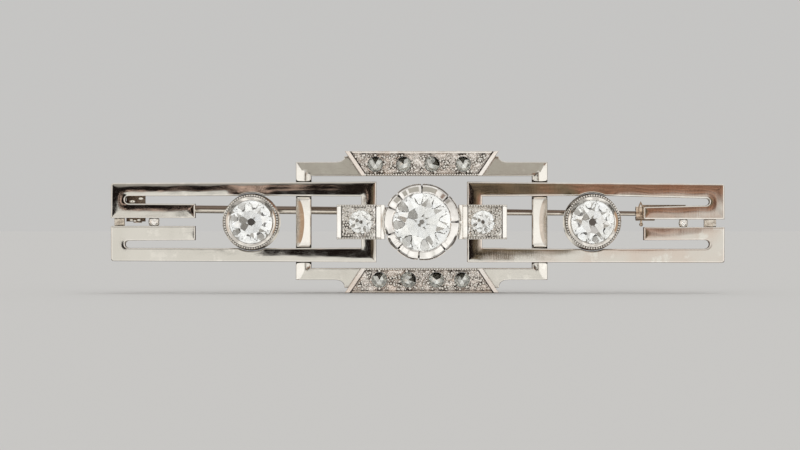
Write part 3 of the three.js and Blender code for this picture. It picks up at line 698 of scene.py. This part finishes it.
def build_frame():
    """The ring behind the wings: flat rails, gabled side members with a hollow filed outside."""
    low, high = bench_box("centre_frame")
    loops = cad_outlines("centre_frame", 0.0)
    inner_w, inner_h = np.abs(loops[1]).max(0)
    outer_w = high[0]
    front = high[2]
    # notches where the wings cross the side members, a little wider than the wings
    wing_back, wing_front = levels("left_wing")
    wing_edge = np.abs(cad_outlines("left_wing", wing_front)[0])
    within = (wing_edge[:, 0] < inner_w) & (wing_edge[:, 1] < inner_h - 1)
    notch_inner = wing_edge[within][:, 1].max() - 0.05
    notch_outer = wing_edge[:, 1].max() + 0.05
    notch_floor = wing_back - 0.01
    bulges = ((notch_inner, -0.1), (notch_outer, 0.08))
    uneven = waves("frame", (9.0, 6.5, 4.0), 0.006)

    def end_curve(across, level, bulge):
        return level + bulge * (2 * across - 1) ** 2

    def hollow_edge(y):
        return 1 - 0.56 * np.sqrt(np.clip(1 - (y / notch_inner) ** 2, 0, 1))

    def height(x, y, edge):
        across = (np.abs(x) - inner_w) / (outer_w - inner_w)
        up = (np.abs(y) - inner_h) / (np.where(y > 0, high[1], -low[1]) - FLARE_RISE - inner_h)
        rail = np.where(y > 0, 0.17, 0.11) * np.clip(up, 0, 1.3)
        member = np.clip((across - np.clip(up, 0, 1)) / 0.06, 0, 1) * (across > -0.05)
        gable = np.where(across > 0.4, 0.3 * (across - 0.4), 0.2 * (0.4 - across))
        ridge = hollow_edge(y)
        lens = np.where(across > ridge, 0.66 * (across - ridge), 0.32 * (ridge - across))
        drop = rail * (1 - member) + member * np.where(np.abs(y) < notch_inner, lens, gable)
        surface = front - 0.01 - drop + uneven(x, y)
        start, end = (end_curve(across, *bulge) for bulge in bulges)
        crossing = (np.abs(y) > start) & (np.abs(y) < end) & (across > -0.1)
        by_edge = np.clip(1 - edge / NOTCH_ROUNDING, 0, 1)
        return np.where(crossing, notch_floor + NOTCH_ROUNDING * by_edge ** 2, surface)

    guides = []
    steps = np.linspace(0, 1, 13)
    xs = inner_w + steps * (outer_w - inner_w)
    for side_x in (-1, 1):
        for side_y in (-1, 1):
            side = (side_x, side_y)
            for bulge in bulges:
                for shift in (-0.01, 0.01):
                    guides.append((np.column_stack((xs, end_curve(steps, *bulge) + shift)) * side)[1:-1])
            corner = np.array([inner_w, inner_h])
            across = (outer_w, (high[1] if side_y > 0 else -low[1]) - FLARE_RISE) - corner
            guides.append((corner + np.linspace(0.1, 0.9, 12)[:, None] * across) * side)
        ys = np.linspace(-0.93, 0.93, 40) * notch_inner
        guides.append(np.column_stack((side_x * (inner_w + hollow_edge(ys) * (outer_w - inner_w)), ys)))
    ring = sheet_mesh(loops, low[2], height, 0.2, 0.09, guides)
    weighted(finish_piece("centre_frame_ring", ring, frame_metal, "centre_frame",
                          sharp=CREASE_ANGLE))


build_frame()


# ---------- milgrain ----------

def milgrain(name, path, closed, level):
    """A row of tiny beads along a path of (x, y) points."""
    path = np.asarray(path, float)
    ends = np.roll(path, -1, axis=0) if closed else path[1:]
    starts = path if closed else path[:-1]
    lengths = np.linalg.norm(ends - starts, axis=1)
    count = max(2, round(lengths.sum() / MILGRAIN_PITCH))
    marks = np.arange(count) * lengths.sum() / (count if closed else count - 1)
    total = np.concatenate(([0], np.cumsum(lengths)))
    draw = random.Random(name)
    centres = []
    for mark in marks:
        index = min(int(np.searchsorted(total, mark, side="right")) - 1, len(lengths) - 1)
        share = (mark - total[index]) / lengths[index]
        spot = starts[index] + (ends[index] - starts[index]) * share
        centres.append((*spot, level + draw.uniform(-0.012, 0.012)))
    radii = [MILGRAIN_RADIUS * draw.uniform(0.9, 1.04) for _ in centres]
    finish_piece(name, bead_mesh(centres, radii, 1.0, 8, 6), bead_metal)


# ---------- pave bars ----------

def scattered(seed, outline, pitch, jitter, keep_off):
    """Spots on a jittered grid inside an outline, away from the keep_off circles (x, y, radius)."""
    draw = random.Random(seed)
    low, high = outline.min(0), outline.max(0)
    spots = []
    for row, y in enumerate(np.arange(low[1] + pitch / 2, high[1], pitch * ROW_PITCH)):
        for x in np.arange(low[0] + (row % 2) * pitch / 2, high[0], pitch):
            spots.append((x + draw.uniform(-jitter, jitter), y + draw.uniform(-jitter, jitter)))
    spots = np.array(spots)
    clear = np.all([np.hypot(spots[:, 0] - x, spots[:, 1] - y) > r for x, y, r in keep_off], axis=0)
    raised = np.array([draw.random() < GRAIN_SHARE for _ in spots])
    return spots[clear & raised & is_inside(spots, [outline])]


def cut_field(x, y, stones, radius, rim, fine):
    """Height of a bright-cut field: sharp-crested waves, and a raised rim round each stone."""
    nearest = np.min([np.hypot(x - stone[0], y - stone[1]) for stone in stones], axis=0)
    return CUT_GAIN * np.abs(fine(x, y)) + rim * np.exp(-((nearest - radius) / RIM_WIDTH) ** 2)


def build_grains(name, kind, spots, level, smallest, largest):
    """Raised grains standing on a bright-cut field."""
    draw = random.Random(name + kind[0])
    radii = [draw.uniform(smallest, largest) for _ in spots]
    centres = [
        (x, y, level - radius * 0.35 + draw.uniform(-0.03, 0.02))
        for (x, y), radius in zip(spots, radii)
    ]
    finish_piece(f"{name}_{kind}", bead_mesh(centres, radii, 0.95, 10, 7), bead_metal)


def ring_spots(centre, radius, count, turn):
    """Spots round a stone, where grains are pushed over its edge."""
    angles = [TAU * (step + turn) / count for step in range(count)]
    return [(centre[0] + radius * math.cos(a), centre[1] + radius * math.sin(a)) for a in angles]


def build_pave_bar(row, side):
    """A bar of four rose cuts: bright slanted ends, plain outer border, bright-cut field, grains."""
    name = row + "_pave_bar"
    low, high = bench_box(name)
    outline = cad_outlines(name, low[2])[0]
    inner_y, outer_y = sorted(np.abs([low[1], high[1]]))
    inner_half = np.abs(outline[np.abs(np.abs(outline[:, 1]) - inner_y) < 0.01][:, 0]).max()
    outer_half = high[0]
    slant = np.array([outer_half - inner_half, outer_y - inner_y])
    slant /= np.linalg.norm(slant)
    centres = [round_place(f"{row}_rose_{number}")[0] for number in range(1, 5)]
    radius = round_place(row + "_rose_1")[1]
    front = high[2]
    # widths of the bright end strip, the groove beside it, the outer border and the milgrain's ledge
    strip, groove, border, ledge = 0.4, 0.1, 0.2, 0.24
    fine = waves(name + "fine", (0.62, 0.47, 0.36, 0.29, 0.25), 0.05)
    coarse = waves(name + "coarse", (1.3, 0.9), 0.03)

    def height(x, y, edge):
        end = (np.abs(y) - inner_y) * slant[0] - (np.abs(x) - inner_half) * slant[1]
        level = front - 0.34 + cut_field(x, y, centres, radius, 0.14, fine) + coarse(x, y)
        from_outer = outer_y - np.abs(y)
        level = np.where(from_outer < border, front - 0.02 - 0.15 * from_outer, level)
        level = np.where(np.abs(y) - inner_y < ledge, front - 0.18, level)
        level = np.where(end < strip + groove, front - 0.4, level)
        return np.where(end < strip, front - 0.02 - 0.1 * (1 - end / strip), level)

    holes = [circle(c[0], c[1], radius * SEAT_SHARE, 40, clockwise=True) for c in centres]
    ys = np.linspace(inner_y + 0.14, outer_y - 0.14, 24)
    guides = []
    for sign in (-1, 1):
        for off in (strip - 0.01, strip + 0.01, strip + groove - 0.01, strip + groove + 0.01):
            xs = inner_half + ((ys - inner_y) * slant[0] - off) / slant[1]
            guides.append(np.column_stack((sign * xs, side * ys)))
    plate = sheet_mesh([outline, *holes], low[2], height, 0.085, 0.05, guides)
    finish_piece(name + "_plate", plate, pave_metal, name)
    row_y = side * (inner_y + MILGRAIN_INSET)
    ends = inner_half - 0.42
    milgrain(name + "_milgrain", np.array([(-ends, row_y), (ends, row_y)]), False, front - 0.1)
    inner_edge, outer_edge = side * (inner_y + 0.3), side * (outer_y - 0.28)
    reach = strip + 0.2
    field = np.array([
        (-inner_half + reach, inner_edge), (inner_half - reach, inner_edge),
        (outer_half - reach - 0.25, outer_edge), (-outer_half + reach + 0.25, outer_edge),
    ])
    spots = scattered(name, field, 0.29, 0.1, [(c[0], c[1], radius + 0.1) for c in centres])
    build_grains(name, "field_grains", spots, front - 0.13, 0.06, 0.16)
    claws = []
    for index, centre in enumerate(centres):
        claws += ring_spots(centre, radius + 0.08, 4, 0.12 * index)
    build_grains(name, "claws", claws, front + 0.01, 0.12, 0.17)
    level = levels(row + "_rose_1")[0]
    seat = radius * SEAT_SHARE - 0.006
    for index, centre in enumerate(centres):
        cup = lathe_mesh([
            (0.0, level - 0.1), (seat, level - 0.1), (seat, level + 0.3), (seat - 0.02, level + 0.3),
            (seat - 0.02, level - 0.02), (0.0, level - 0.02),
        ], 32, centre)
        finish_piece(f"{name}_foil_{index + 1}", cup, foil_metal)


build_pave_bar("top", 1)
build_pave_bar("bottom", -1)


# ---------- box settings ----------

def build_box(side_name, side):
    """A square setting: bright strips at the ends, milgrain above and below, bright-cut field."""
    name = side_name + "_box"
    low, high = bench_box(name)
    stone, radius = round_place(side_name + "_box_diamond")
    outer = max(abs(low[0]), abs(high[0]))
    inner = 2 * abs(stone[0]) - outer
    half_y = high[1]
    front = high[2]
    deck = front - 0.8
    # widths of the bright end strips, the groove, the milgrain's ledge and the inner double strip
    strip, groove, ledge, step = 0.42, 0.1, 0.24, 0.86
    fine = waves(name, (0.5, 0.41, 0.33, 0.27), 0.065)

    def height(x, y, edge):
        from_inner = np.abs(x) - inner
        from_outer = outer - np.abs(x)
        level = front - 0.34 + cut_field(x, y, [stone], radius, 0.1, fine)
        level = np.where(half_y - np.abs(y) < ledge, front - 0.14, level)
        level = np.where(from_outer < strip + groove, front - 0.36, level)
        level = np.where(from_outer < strip, front - 0.03 - 0.09 * (1 - from_outer / strip), level)
        level = np.where(from_inner < step + 0.09, front - 0.36, level)
        level = np.where(from_inner < step, front - 0.04 - 0.09 * (from_inner - 0.46) / 0.4, level)
        return np.where(from_inner < strip, front - 0.05 - 0.1 * (1 - from_inner / strip), level)

    ys = np.linspace(-half_y + 0.14, half_y - 0.14, 28)
    lines = [outer - distance for distance in (0.41, 0.43, 0.51, 0.53)]
    lines += [inner + distance for distance in (0.41, 0.43, 0.85, 0.87, 0.94, 0.96)]
    guides = [np.column_stack((np.full(28, side * x), ys)) for x in lines]
    corners = rectangle(*sorted((side * inner, side * outer)), -half_y, half_y)
    hole = circle(stone[0], stone[1], radius * SEAT_SHARE, 44, clockwise=True)
    face = sheet_mesh([corners, hole], deck, height, 0.085, 0.05, guides)
    finish_piece(name + "_face", face, engraved, name)
    for edge, place in ((-1, "lower"), (1, "upper")):
        y = edge * (half_y - MILGRAIN_INSET)
        row = np.array([(side * (inner + 0.5), y), (side * (outer - 0.1), y)])
        milgrain(f"{name}_milgrain_{place}", row, False, front - 0.08)
    build_box_skirt(name, side, inner, outer, half_y, low[2], deck)
    field = rectangle(*sorted((side * (inner + 1.05), side * (outer - 0.6))), -half_y + 0.32, half_y - 0.32)
    spots = scattered(name, field, 0.28, 0.07, [(stone[0], stone[1], radius + 0.08)])
    build_grains(name, "field_grains", spots, front - 0.08, 0.08, 0.14)
    claws = ring_spots(stone, radius + 0.02, 8, 0.5)
    build_grains(name, "claws", claws, front + 0.02, 0.11, 0.15)


def build_box_skirt(name, side, inner, outer, half_y, back, deck):
    """The walls under the face: one part outside the wing's end bar, one against the coronet."""
    wing_high = bench_box("right_wing")[1]
    wing = cad_outlines("right_wing", wing_high[2])[0]
    bar_inner = np.abs(wing[:, 0]).min()
    bar_outer = np.abs(wing[np.abs(np.abs(wing[:, 1]) - wing_high[1]) > 0.5][:, 0])
    bar_outer = bar_outer[bar_outer > bar_inner + 0.5].min()
    wall = 0.42
    gap = 0.03
    spans = (("outer_wall", outer, bar_outer + gap), ("inner_wall", inner, bar_inner - gap))
    for part, start, end in spans:
        turn = math.copysign(wall, end - start)
        outline = np.array([
            (start, -half_y), (end, -half_y), (end, wall - half_y), (start + turn, wall - half_y),
            (start + turn, half_y - wall), (end, half_y - wall), (end, half_y), (start, half_y),
        ]) * (side, 1)
        if area(outline) < 0:
            outline = outline[::-1]
        walls = sheet_mesh([outline], back, lambda x, y, edge: np.full_like(x, deck + 0.05), 0.4, 0.03)
        finish_piece(f"{name}_{part}", walls, polished)


build_box("left", -1)
build_box("right", 1)


# ---------- round collets ----------

def build_collet(side_name):
    """A turned collet with a milgrained rim and a bright lip over the stone's edge."""
    name = side_name + "_collet"
    centre, flange = round_place(name)
    stone = round_place(side_name + "_diamond")[1] + STONE_PLAY
    back, front = levels(name)
    rim = flange - 0.15
    foot = offsets(flange, back, (-0.03, 0), (0, 0.03), (0, 0.1), (-0.06, 0.15))
    side = offsets(rim, back, (-0.32, 0.2), (-0.4, 0.6), (-0.38, 1.0), (-0.3, 1.3), (-0.16, 1.6),
                   (-0.06, 1.8), (-0.03, 1.95))
    channel = offsets(rim, front, (-0.04, -0.2), (-0.19, -0.2), (-0.2, -0.06), (-0.23, -0.03),
                      (-0.28, -0.05))
    lip = offsets(stone, front, (-0.2, -0.2), (-0.25, -0.235), (-0.22, -0.29), (-0.03, -0.38),
                  (0, -0.44), (0, -0.62))
    bore = [(2.0, front - 1.1), (1.86, back + 0.3), (1.85, back)]
    turned = lathe_mesh([bore[-1], *foot, *side, *channel, *lip, *bore[:-1]], 120, centre)
    weighted(finish_piece(name + "_turned", turned, collet_gold, name))
    milgrain(name + "_milgrain", circle(centre[0], centre[1], rim - 0.1, 96), True, front - 0.1)
    shoulder = offsets(rim, front, (-0.35, -0.5), (-0.02, -0.5), (0.02, -0.32))
    shoulder += offsets(flange, front, (-0.03, -0.44), (-0.01, -0.55))
    shoulder += [(flange - 0.12, back + 1.7), (rim - 0.3, back + 1.3)]
    for part, facing in (("outer", 0.0), ("inner", math.pi)):
        arc = arc_mesh(shoulder, facing, math.radians(37), 40, centre, 0.03, name + part)
        finish_piece(f"{name}_shoulder_{part}", arc, polished)


build_collet("left")
build_collet("right")


# ---------- centre coronet ----------

def build_coronet():
    """Broad and narrow petals round the centre stone, parted by narrow saw cuts."""
    rim = round_place("centre_coronet")[1]
    back, front = levels("centre_coronet")
    stone = round_place("centre_diamond")[1] + STONE_PLAY
    # places across half a petal, closest beside the saw cut
    half_shares = [0.97, 0.94, 0.9, 0.84, 0.75, 0.65, 0.55, 0.45, 0.35, 0.25, 0.125]
    shares = [-1, *(-share for share in half_shares), 0, *half_shares[::-1]]
    draw = random.Random("petals")
    rows = []
    for start, end in zip(CORONET_CUTS, (*CORONET_CUTS[1:], CORONET_CUTS[0] + 360)):
        half_petal = (end - start) / 2
        flute_depth = draw.uniform(0.004, 0.014)
        flute_turns = draw.choice((1, 2, 3)) * math.pi
        sag = draw.uniform(0.0, 0.02)
        for share in shares:
            angle = math.radians((start + end) / 2 + share * half_petal)
            cut = max(0.0, 1 - (1 - abs(share)) * half_petal / CUT_HALF_WIDTH)
            shoulder = share * share
            flutes = flute_depth * math.cos(flute_turns * share) * (1 - cut)
            edge = rim - 0.05 * shoulder - 0.4 * cut
            lift = flutes - 0.05 * shoulder - 0.34 * cut
            lip = stone - 0.42 - 0.08 * shoulder + 0.1 * cut
            profile = [
                (1.75, back), (2.3, back), (2.72, back + 0.52), (3.06, back + 1.1), (3.36, back + 1.75),
                (3.54, back + 2.3), (3.6, back + 2.6), (3.6, front - 0.78), (min(edge, 3.72), front - 0.68),
                (edge - 0.01, front - 0.56 + lift * 0.3), (edge, front - 0.46 + lift * 0.6),
                (edge - 0.06, front - 0.3 + lift), (edge - 0.15, front - 0.19 + lift),
                (edge - 0.29, front - 0.105 + lift), (lip + 0.18, front - 0.02 - sag + lift),
                (lip + 0.07, front - 0.055 - sag + lift * 0.8), (lip, front - 0.1 - sag + lift * 0.5),
                (lip - 0.01, front - 0.16 - sag + lift * 0.3), (lip + 0.03, front - 0.24),
                (stone, front - 0.36), (stone, front - 0.66), (stone - 0.5, front - 1.16),
                (2.45, back + 1.5),
            ]
            rows.append([(r * math.cos(angle), r * math.sin(angle), z) for r, z in profile])
    petals = (np.vstack(rows), ring_faces(len(rows), len(rows[0])))
    finish_piece("coronet_petals", petals, petal_gold, "centre_coronet", sharp=PETAL_CREASE)
    radius = round_place("coronet_base_ring")[1]
    low, high = levels("coronet_base_ring")
    ring = lathe_mesh(washer(radius - 0.65, radius, low, high, 0.06, 0.1, 0.06), 80)
    finish_piece("coronet_base", ring, rough_gold, "coronet_base_ring")


build_coronet()


# ---------- pin ----------

def build_pin():
    """A tapered wire with a turned knuckle, laid along the line from the hinge to the catch."""
    hinge, catch = joint_place("pin_swing"), joint_place("catch_turn")
    low, high = bench_box("pin_stem")
    knuckle = hinge[0] - low[0]
    reach = np.linalg.norm(catch - hinge)
    direction = (catch - hinge) / reach
    tip = (high[0] - hinge[0]) / direction[0]
    up = np.array([0, 0, 1.0])
    thick, thin, segments = 0.4, 0.24, 24
    # distance from the hinge and radius, along the wire
    stations = [(0.42, 0.0), (0.42, thick)]
    stations += [(distance, thick) for distance in np.linspace(0.6, reach * 0.5, 14)]
    stations += zip(np.linspace(reach * 0.5, reach - 2, 10)[1:], np.linspace(thick, thin, 10)[1:])
    stations += [(tip - 1.7, thin), (tip - 1.1, 0.21), (tip - 0.6, 0.14), (tip - 0.2, 0.06), (tip, 0.0)]
    across = np.array([np.cross(up, direction), up])
    vertices = np.vstack([
        hinge + direction * distance + circle(0, 0, radius, segments) @ across
        for distance, radius in stations
    ])
    faces = ring_faces(len(stations), segments)[:(len(stations) - 1) * segments]
    faces = [face[::-1] for face in faces]
    finish_piece("pin_wire", (vertices, faces), pin_metal, "pin_stem", "pin")
    ring, faces = lathe_mesh(washer(0.34, knuckle, -0.5, 0.5, 0.03, 0.08, 0.08), 48)
    turned = np.column_stack((ring[:, 0], ring[:, 2], -ring[:, 1])) + hinge
    finish_piece("pin_knuckle", (turned, faces), pin_metal, None, "pin")


build_pin()


# ---------- CAD nodes that stay ----------

def dress(node, material, bevel=0.0):
    """Gives a CAD node its material and, for metalwork, a small rounded edge."""
    piece = frame["nodes"][node]
    piece.data.materials.clear()
    piece.data.materials.append(material)
    if bevel:
        weld = piece.modifiers.new("weld", "WELD")
        weld.merge_threshold = 0.0005 * MM
        rounding = piece.modifiers.new("rounding", "BEVEL")
        rounding.width = bevel * MM
        rounding.segments = 2
        rounding.limit_method = "ANGLE"
        rounding.angle_limit = math.radians(40)
        rounding.harden_normals = False


for stone in ("centre_diamond", "left_diamond", "right_diamond", "left_box_diamond", "right_box_diamond"):
    dress(stone, clear_stone)
for row in ("top", "bottom"):
    for number in range(1, 5):
        dress(f"{row}_rose_{number}", rose_stone)
for fitting in ("hinge_joint", "hinge_rivet", "catch_body", "catch_sleeve"):
    dress(fitting, fitting_gold, 0.03)


def build_hinge_solder():
    """Small runs of solder where the hinge foot meets the wing's back."""
    low, high = bench_box("hinge_joint")
    spots = [
        (low[0] + 1.45, high[1] - 0.3, 0.17), (low[0] + 0.6, high[1] - 0.6, 0.2), (low[0] + 0.5, 0.2, 0.13),
        (low[0] + 0.85, 0.12, 0.11), (low[0] + 1.25, 0.2, 0.13),
    ]
    centres = [(x, y, high[2] + radius * 0.1) for x, y, radius in spots]
    vertices, faces = bead_mesh(centres, [radius for _, _, radius in spots], 0.7, 16, 10)
    middles = np.repeat([x for x, _, _ in spots], len(vertices) // len(spots))
    vertices[:, 0] += 0.6 * (vertices[:, 0] - middles)
    finish_piece("hinge_solder", (vertices, faces), bead_metal)


build_hinge_solder()


# ---------- floor, light and camera ----------

BACKDROP = (0.56, 0.555, 0.545)
DAYLIGHT = (0.78, 0.775, 0.765)
FLOOR_TONE = (0.60, 0.595, 0.585)
FLOOR_RADIUS = 3.0
FLOOR_GAP = 0.00002


def build_floor():
    """A plain pale floor just under the brooch."""
    level = cad_bounds[0][2] - FLOOR_GAP
    mesh = bpy.data.meshes.new("floor")
    mesh.from_pydata([(x, y, level) for x, y in circle(0, 0, FLOOR_RADIUS, 64)], [], [tuple(range(64))])
    floor = add_object("floor", mesh)
    material, nodes = new_material("pale_floor")
    nodes.finish(nodes.add("ShaderNodeBsdfDiffuse", {"Color": (*FLOOR_TONE, 1.0)}))
    mesh.materials.append(material)
    floor.visible_glossy = False
    floor.visible_transmission = False


WHITE = (1.12, 1.1, 1.06)
UPPER_WHITE = (1.0, 0.98, 0.94)
PALE = (0.77, 0.755, 0.71)
GREY = (0.33, 0.31, 0.28)
TAN = (0.48, 0.33, 0.22)
BROWN = (0.05, 0.032, 0.022)
OLIVE = (0.2, 0.155, 0.1)
PINK_BROWN = (0.12, 0.062, 0.04)
PINK = (0.72, 0.52, 0.42)
BLUSH = (0.42, 0.235, 0.155)
SHELF = (0.47, 0.45, 0.40)
SHADE = (0.10, 0.095, 0.085)
CLOUD = (0.5, 0.475, 0.455)
DARK = (0.010, 0.007, 0.006)
STONE_WHITE = (1.15, 1.15, 1.14)
STONE_SHADE = (0.11, 0.1, 0.09)


def studio_card(nodes, direction, around, rise, wobble):
    """What flat faces mirror: a dark card above, pale paper below, pink and brown tones between.

    The card's lower edge steps up or down along it, and its right part is streaked.
    """
    low_edge = 2.3
    steps = ((-3.5, -2.6, -7.3), (0.5, 1.4, -1.7), (2.0, 2.8, 4.5), (3.9, 4.7, 2.6), (5.3, 6.0, 3.0))
    for start, end, step in steps:
        low_edge = nodes.math("ADD", low_edge, nodes.ramp(around, start, end, 0.0, step))
    softness = nodes.ramp(around, 1.5, 3.5, 0.5, 3.0)
    over = nodes.math("SUBTRACT", rise, nodes.math("ADD", low_edge, wobble))

    stretched = nodes.scaled(direction, (26.0, 1.0, 85.0))
    streaks = nodes.ramp(nodes.noise_at(stretched, 1.0, 3.0), 0.38, 0.62)
    right = nodes.mix(nodes.ramp(around, 2.2, 2.8), nodes.mix(streaks, OLIVE, DARK), OLIVE)
    right = nodes.mix(nodes.ramp(around, 3.0, 3.9), right, nodes.mix(streaks, BLUSH, PINK_BROWN))
    above = nodes.mix(nodes.ramp(around, 0.3, 1.0), DARK, right)
    shifted = nodes.math("ADD", rise, wobble)
    for start, end, lowest, highest in (
        (-5.2, -4.85, 1.4, 4.5), (-4.02, -3.88, 0.0, 4.0), (-3.3, -2.75, 2.8, 9.0),
        (-2.75, -1.95, 2.8, 3.5), (-2.75, -1.95, 6.8, 8.0),
    ):
        patch = nodes.product(
            nodes.band(around, start - 0.1, start + 0.1, end - 0.1, end + 0.1),
            nodes.band(shifted, lowest - 0.6, lowest + 0.6, highest - 0.6, highest + 0.6),
        )
        above = nodes.mix(patch, above, PINK)
    above = nodes.mix(nodes.product(nodes.ramp(rise, 8.5, 10.0), nodes.ramp(around, 1.0, 0.3)), above, GREY)
    above = nodes.mix(nodes.ramp(rise, 11.5, 14.5), above, SHELF)
    share = nodes.ramp(nodes.math("DIVIDE", over, softness), 1.0, -1.0)
    return nodes.mix(share, above, PALE)


def build_world():
    """Pale surround for the eye; for reflections, a dark card in front ringed by white softboxes.

    Angles are in degrees as the brooch sees them: around and rise from straight ahead.
    """
    studio = bpy.data.worlds.new("studio")
    bpy.context.scene.world = studio
    studio.use_nodes = True
    nodes = Nodes(studio.node_tree)
    ramp, band, mix, product = nodes.ramp, nodes.band, nodes.mix, nodes.product
    direction = nodes.add("ShaderNodeTexCoord").outputs["Generated"]
    x, y, z = nodes.add("ShaderNodeSeparateXYZ", {"Vector": direction}).outputs
    forward = product(y, -1.0)
    around = nodes.math("DEGREES", nodes.math("ARCTAN2", x, forward))
    rise = nodes.math("DEGREES", nodes.math("ARCSINE", z))
    off_axis = nodes.math("DEGREES", nodes.math("ARCCOSINE", forward))
    sideways = nodes.math("ABSOLUTE", around)
    steep = nodes.math("ABSOLUTE", rise)
    wobble = ramp(nodes.noise_at(direction, 26.0, 3.0), 0.3, 0.7, -1.0, 1.0)
    drift = ramp(nodes.noise_at(direction, 8.0, 2.0), 0.36, 0.64, 0.55, 1.0)
    clouds = ramp(nodes.noise_at(direction, 4.5, 2.0), 0.44, 0.6, 0.0, 0.7)

    color = mix(ramp(rise, -4.0, 12.0), WHITE, UPPER_WHITE)
    for tone, *shares in (
        (CLOUD, clouds, ramp(steep, 10.0, 18.0)),
        (CLOUD, band(rise, 15.0, 21.0, 31.0, 42.0), 0.85, ramp(sideways, 38.0, 24.0)),
        (SHADE, ramp(sideways, 20.0, 44.0), ramp(rise, -11.0, -20.0), drift),
        (TAN, band(sideways, 38.0, 41.0, 54.0, 58.0), ramp(steep, 24.0, 16.0),
         ramp(around, -10.0, 10.0, 1.0, 0.5)),
        (SHADE, band(sideways, 68.0, 82.0, 100.0, 112.0), ramp(steep, 34.0, 8.0), 0.75, drift),
    ):
        color = mix(product(*shares), color, tone)
    back_shade = product(ramp(sideways, 106.0, 138.0), ramp(rise, 14.0, -2.0), drift)
    back = mix(back_shade, UPPER_WHITE, SHADE)
    back = mix(product(ramp(steep, 20.0, 9.0), ramp(sideways, 150.0, 158.0)), back, BROWN)
    color = mix(ramp(off_axis, 96.0, 112.0), color, back)
    color = mix(product(band(off_axis, 92.0, 100.0, 112.0, 122.0), 0.85), color, BROWN)
    card = product(ramp(sideways, 14.0, 11.0), band(rise, -20.0, -16.0, 20.0, 24.0))
    color = mix(card, color, studio_card(nodes, direction, around, rise, wobble))

    sparkle = mix(ramp(nodes.noise_at(direction, 2.6, 2.0), 0.38, 0.48), GREY, STONE_WHITE)
    sparkle = mix(ramp(off_axis, 7.0, 4.0), sparkle, DARK)
    sparkle = mix(ramp(off_axis, 92.0, 104.0), sparkle, STONE_SHADE)
    sparkle = mix(ramp(off_axis, 178.8, 179.4), sparkle, GREY)

    path = nodes.add("ShaderNodeLightPath").outputs
    color = mix(path["Is Transmission Ray"], color, sparkle)
    color = mix(path["Is Diffuse Ray"], color, DAYLIGHT)
    color = mix(path["Is Camera Ray"], color, BACKDROP)
    nodes.finish(nodes.add("ShaderNodeBackground", {"Color": color, "Strength": 1.0}), "World")


def build_light():
    """One broad overhead light that only shades the floor."""
    data = bpy.data.lights.new("overhead", "SUN")
    data.energy = 0.6
    data.angle = math.radians(40)
    light = add_object("overhead", data)
    light.rotation_euler = (math.radians(-18), math.radians(14), 0)
    light.visible_glossy = False
    light.visible_transmission = False


def build_camera():
    """Straight on and level, far enough to frame VIEW_WIDTH at the wings' front."""
    data = bpy.data.cameras.new("camera")
    data.lens = LENS
    data.sensor_width = SENSOR
    data.clip_start = 0.01
    data.clip_end = 20.0
    camera = add_object("camera", data)
    distance = LENS * VIEW_WIDTH / SENSOR
    face = bench_box("left_wing")[1][2]
    camera.location = world([(VIEW_SHIFT_X, VIEW_SHIFT_Z, face + distance)])[0]
    camera.rotation_euler = (math.pi / 2, 0, 0)
    bpy.context.scene.camera = camera


build_floor()
build_world()
build_light()
build_camera()
studio_scene = bpy.context.scene
studio_scene.view_settings.view_transform = "Standard"
studio_scene.cycles.max_bounces = 24
studio_scene.cycles.transmission_bounces = 24
studio_scene.cycles.glossy_bounces = 10
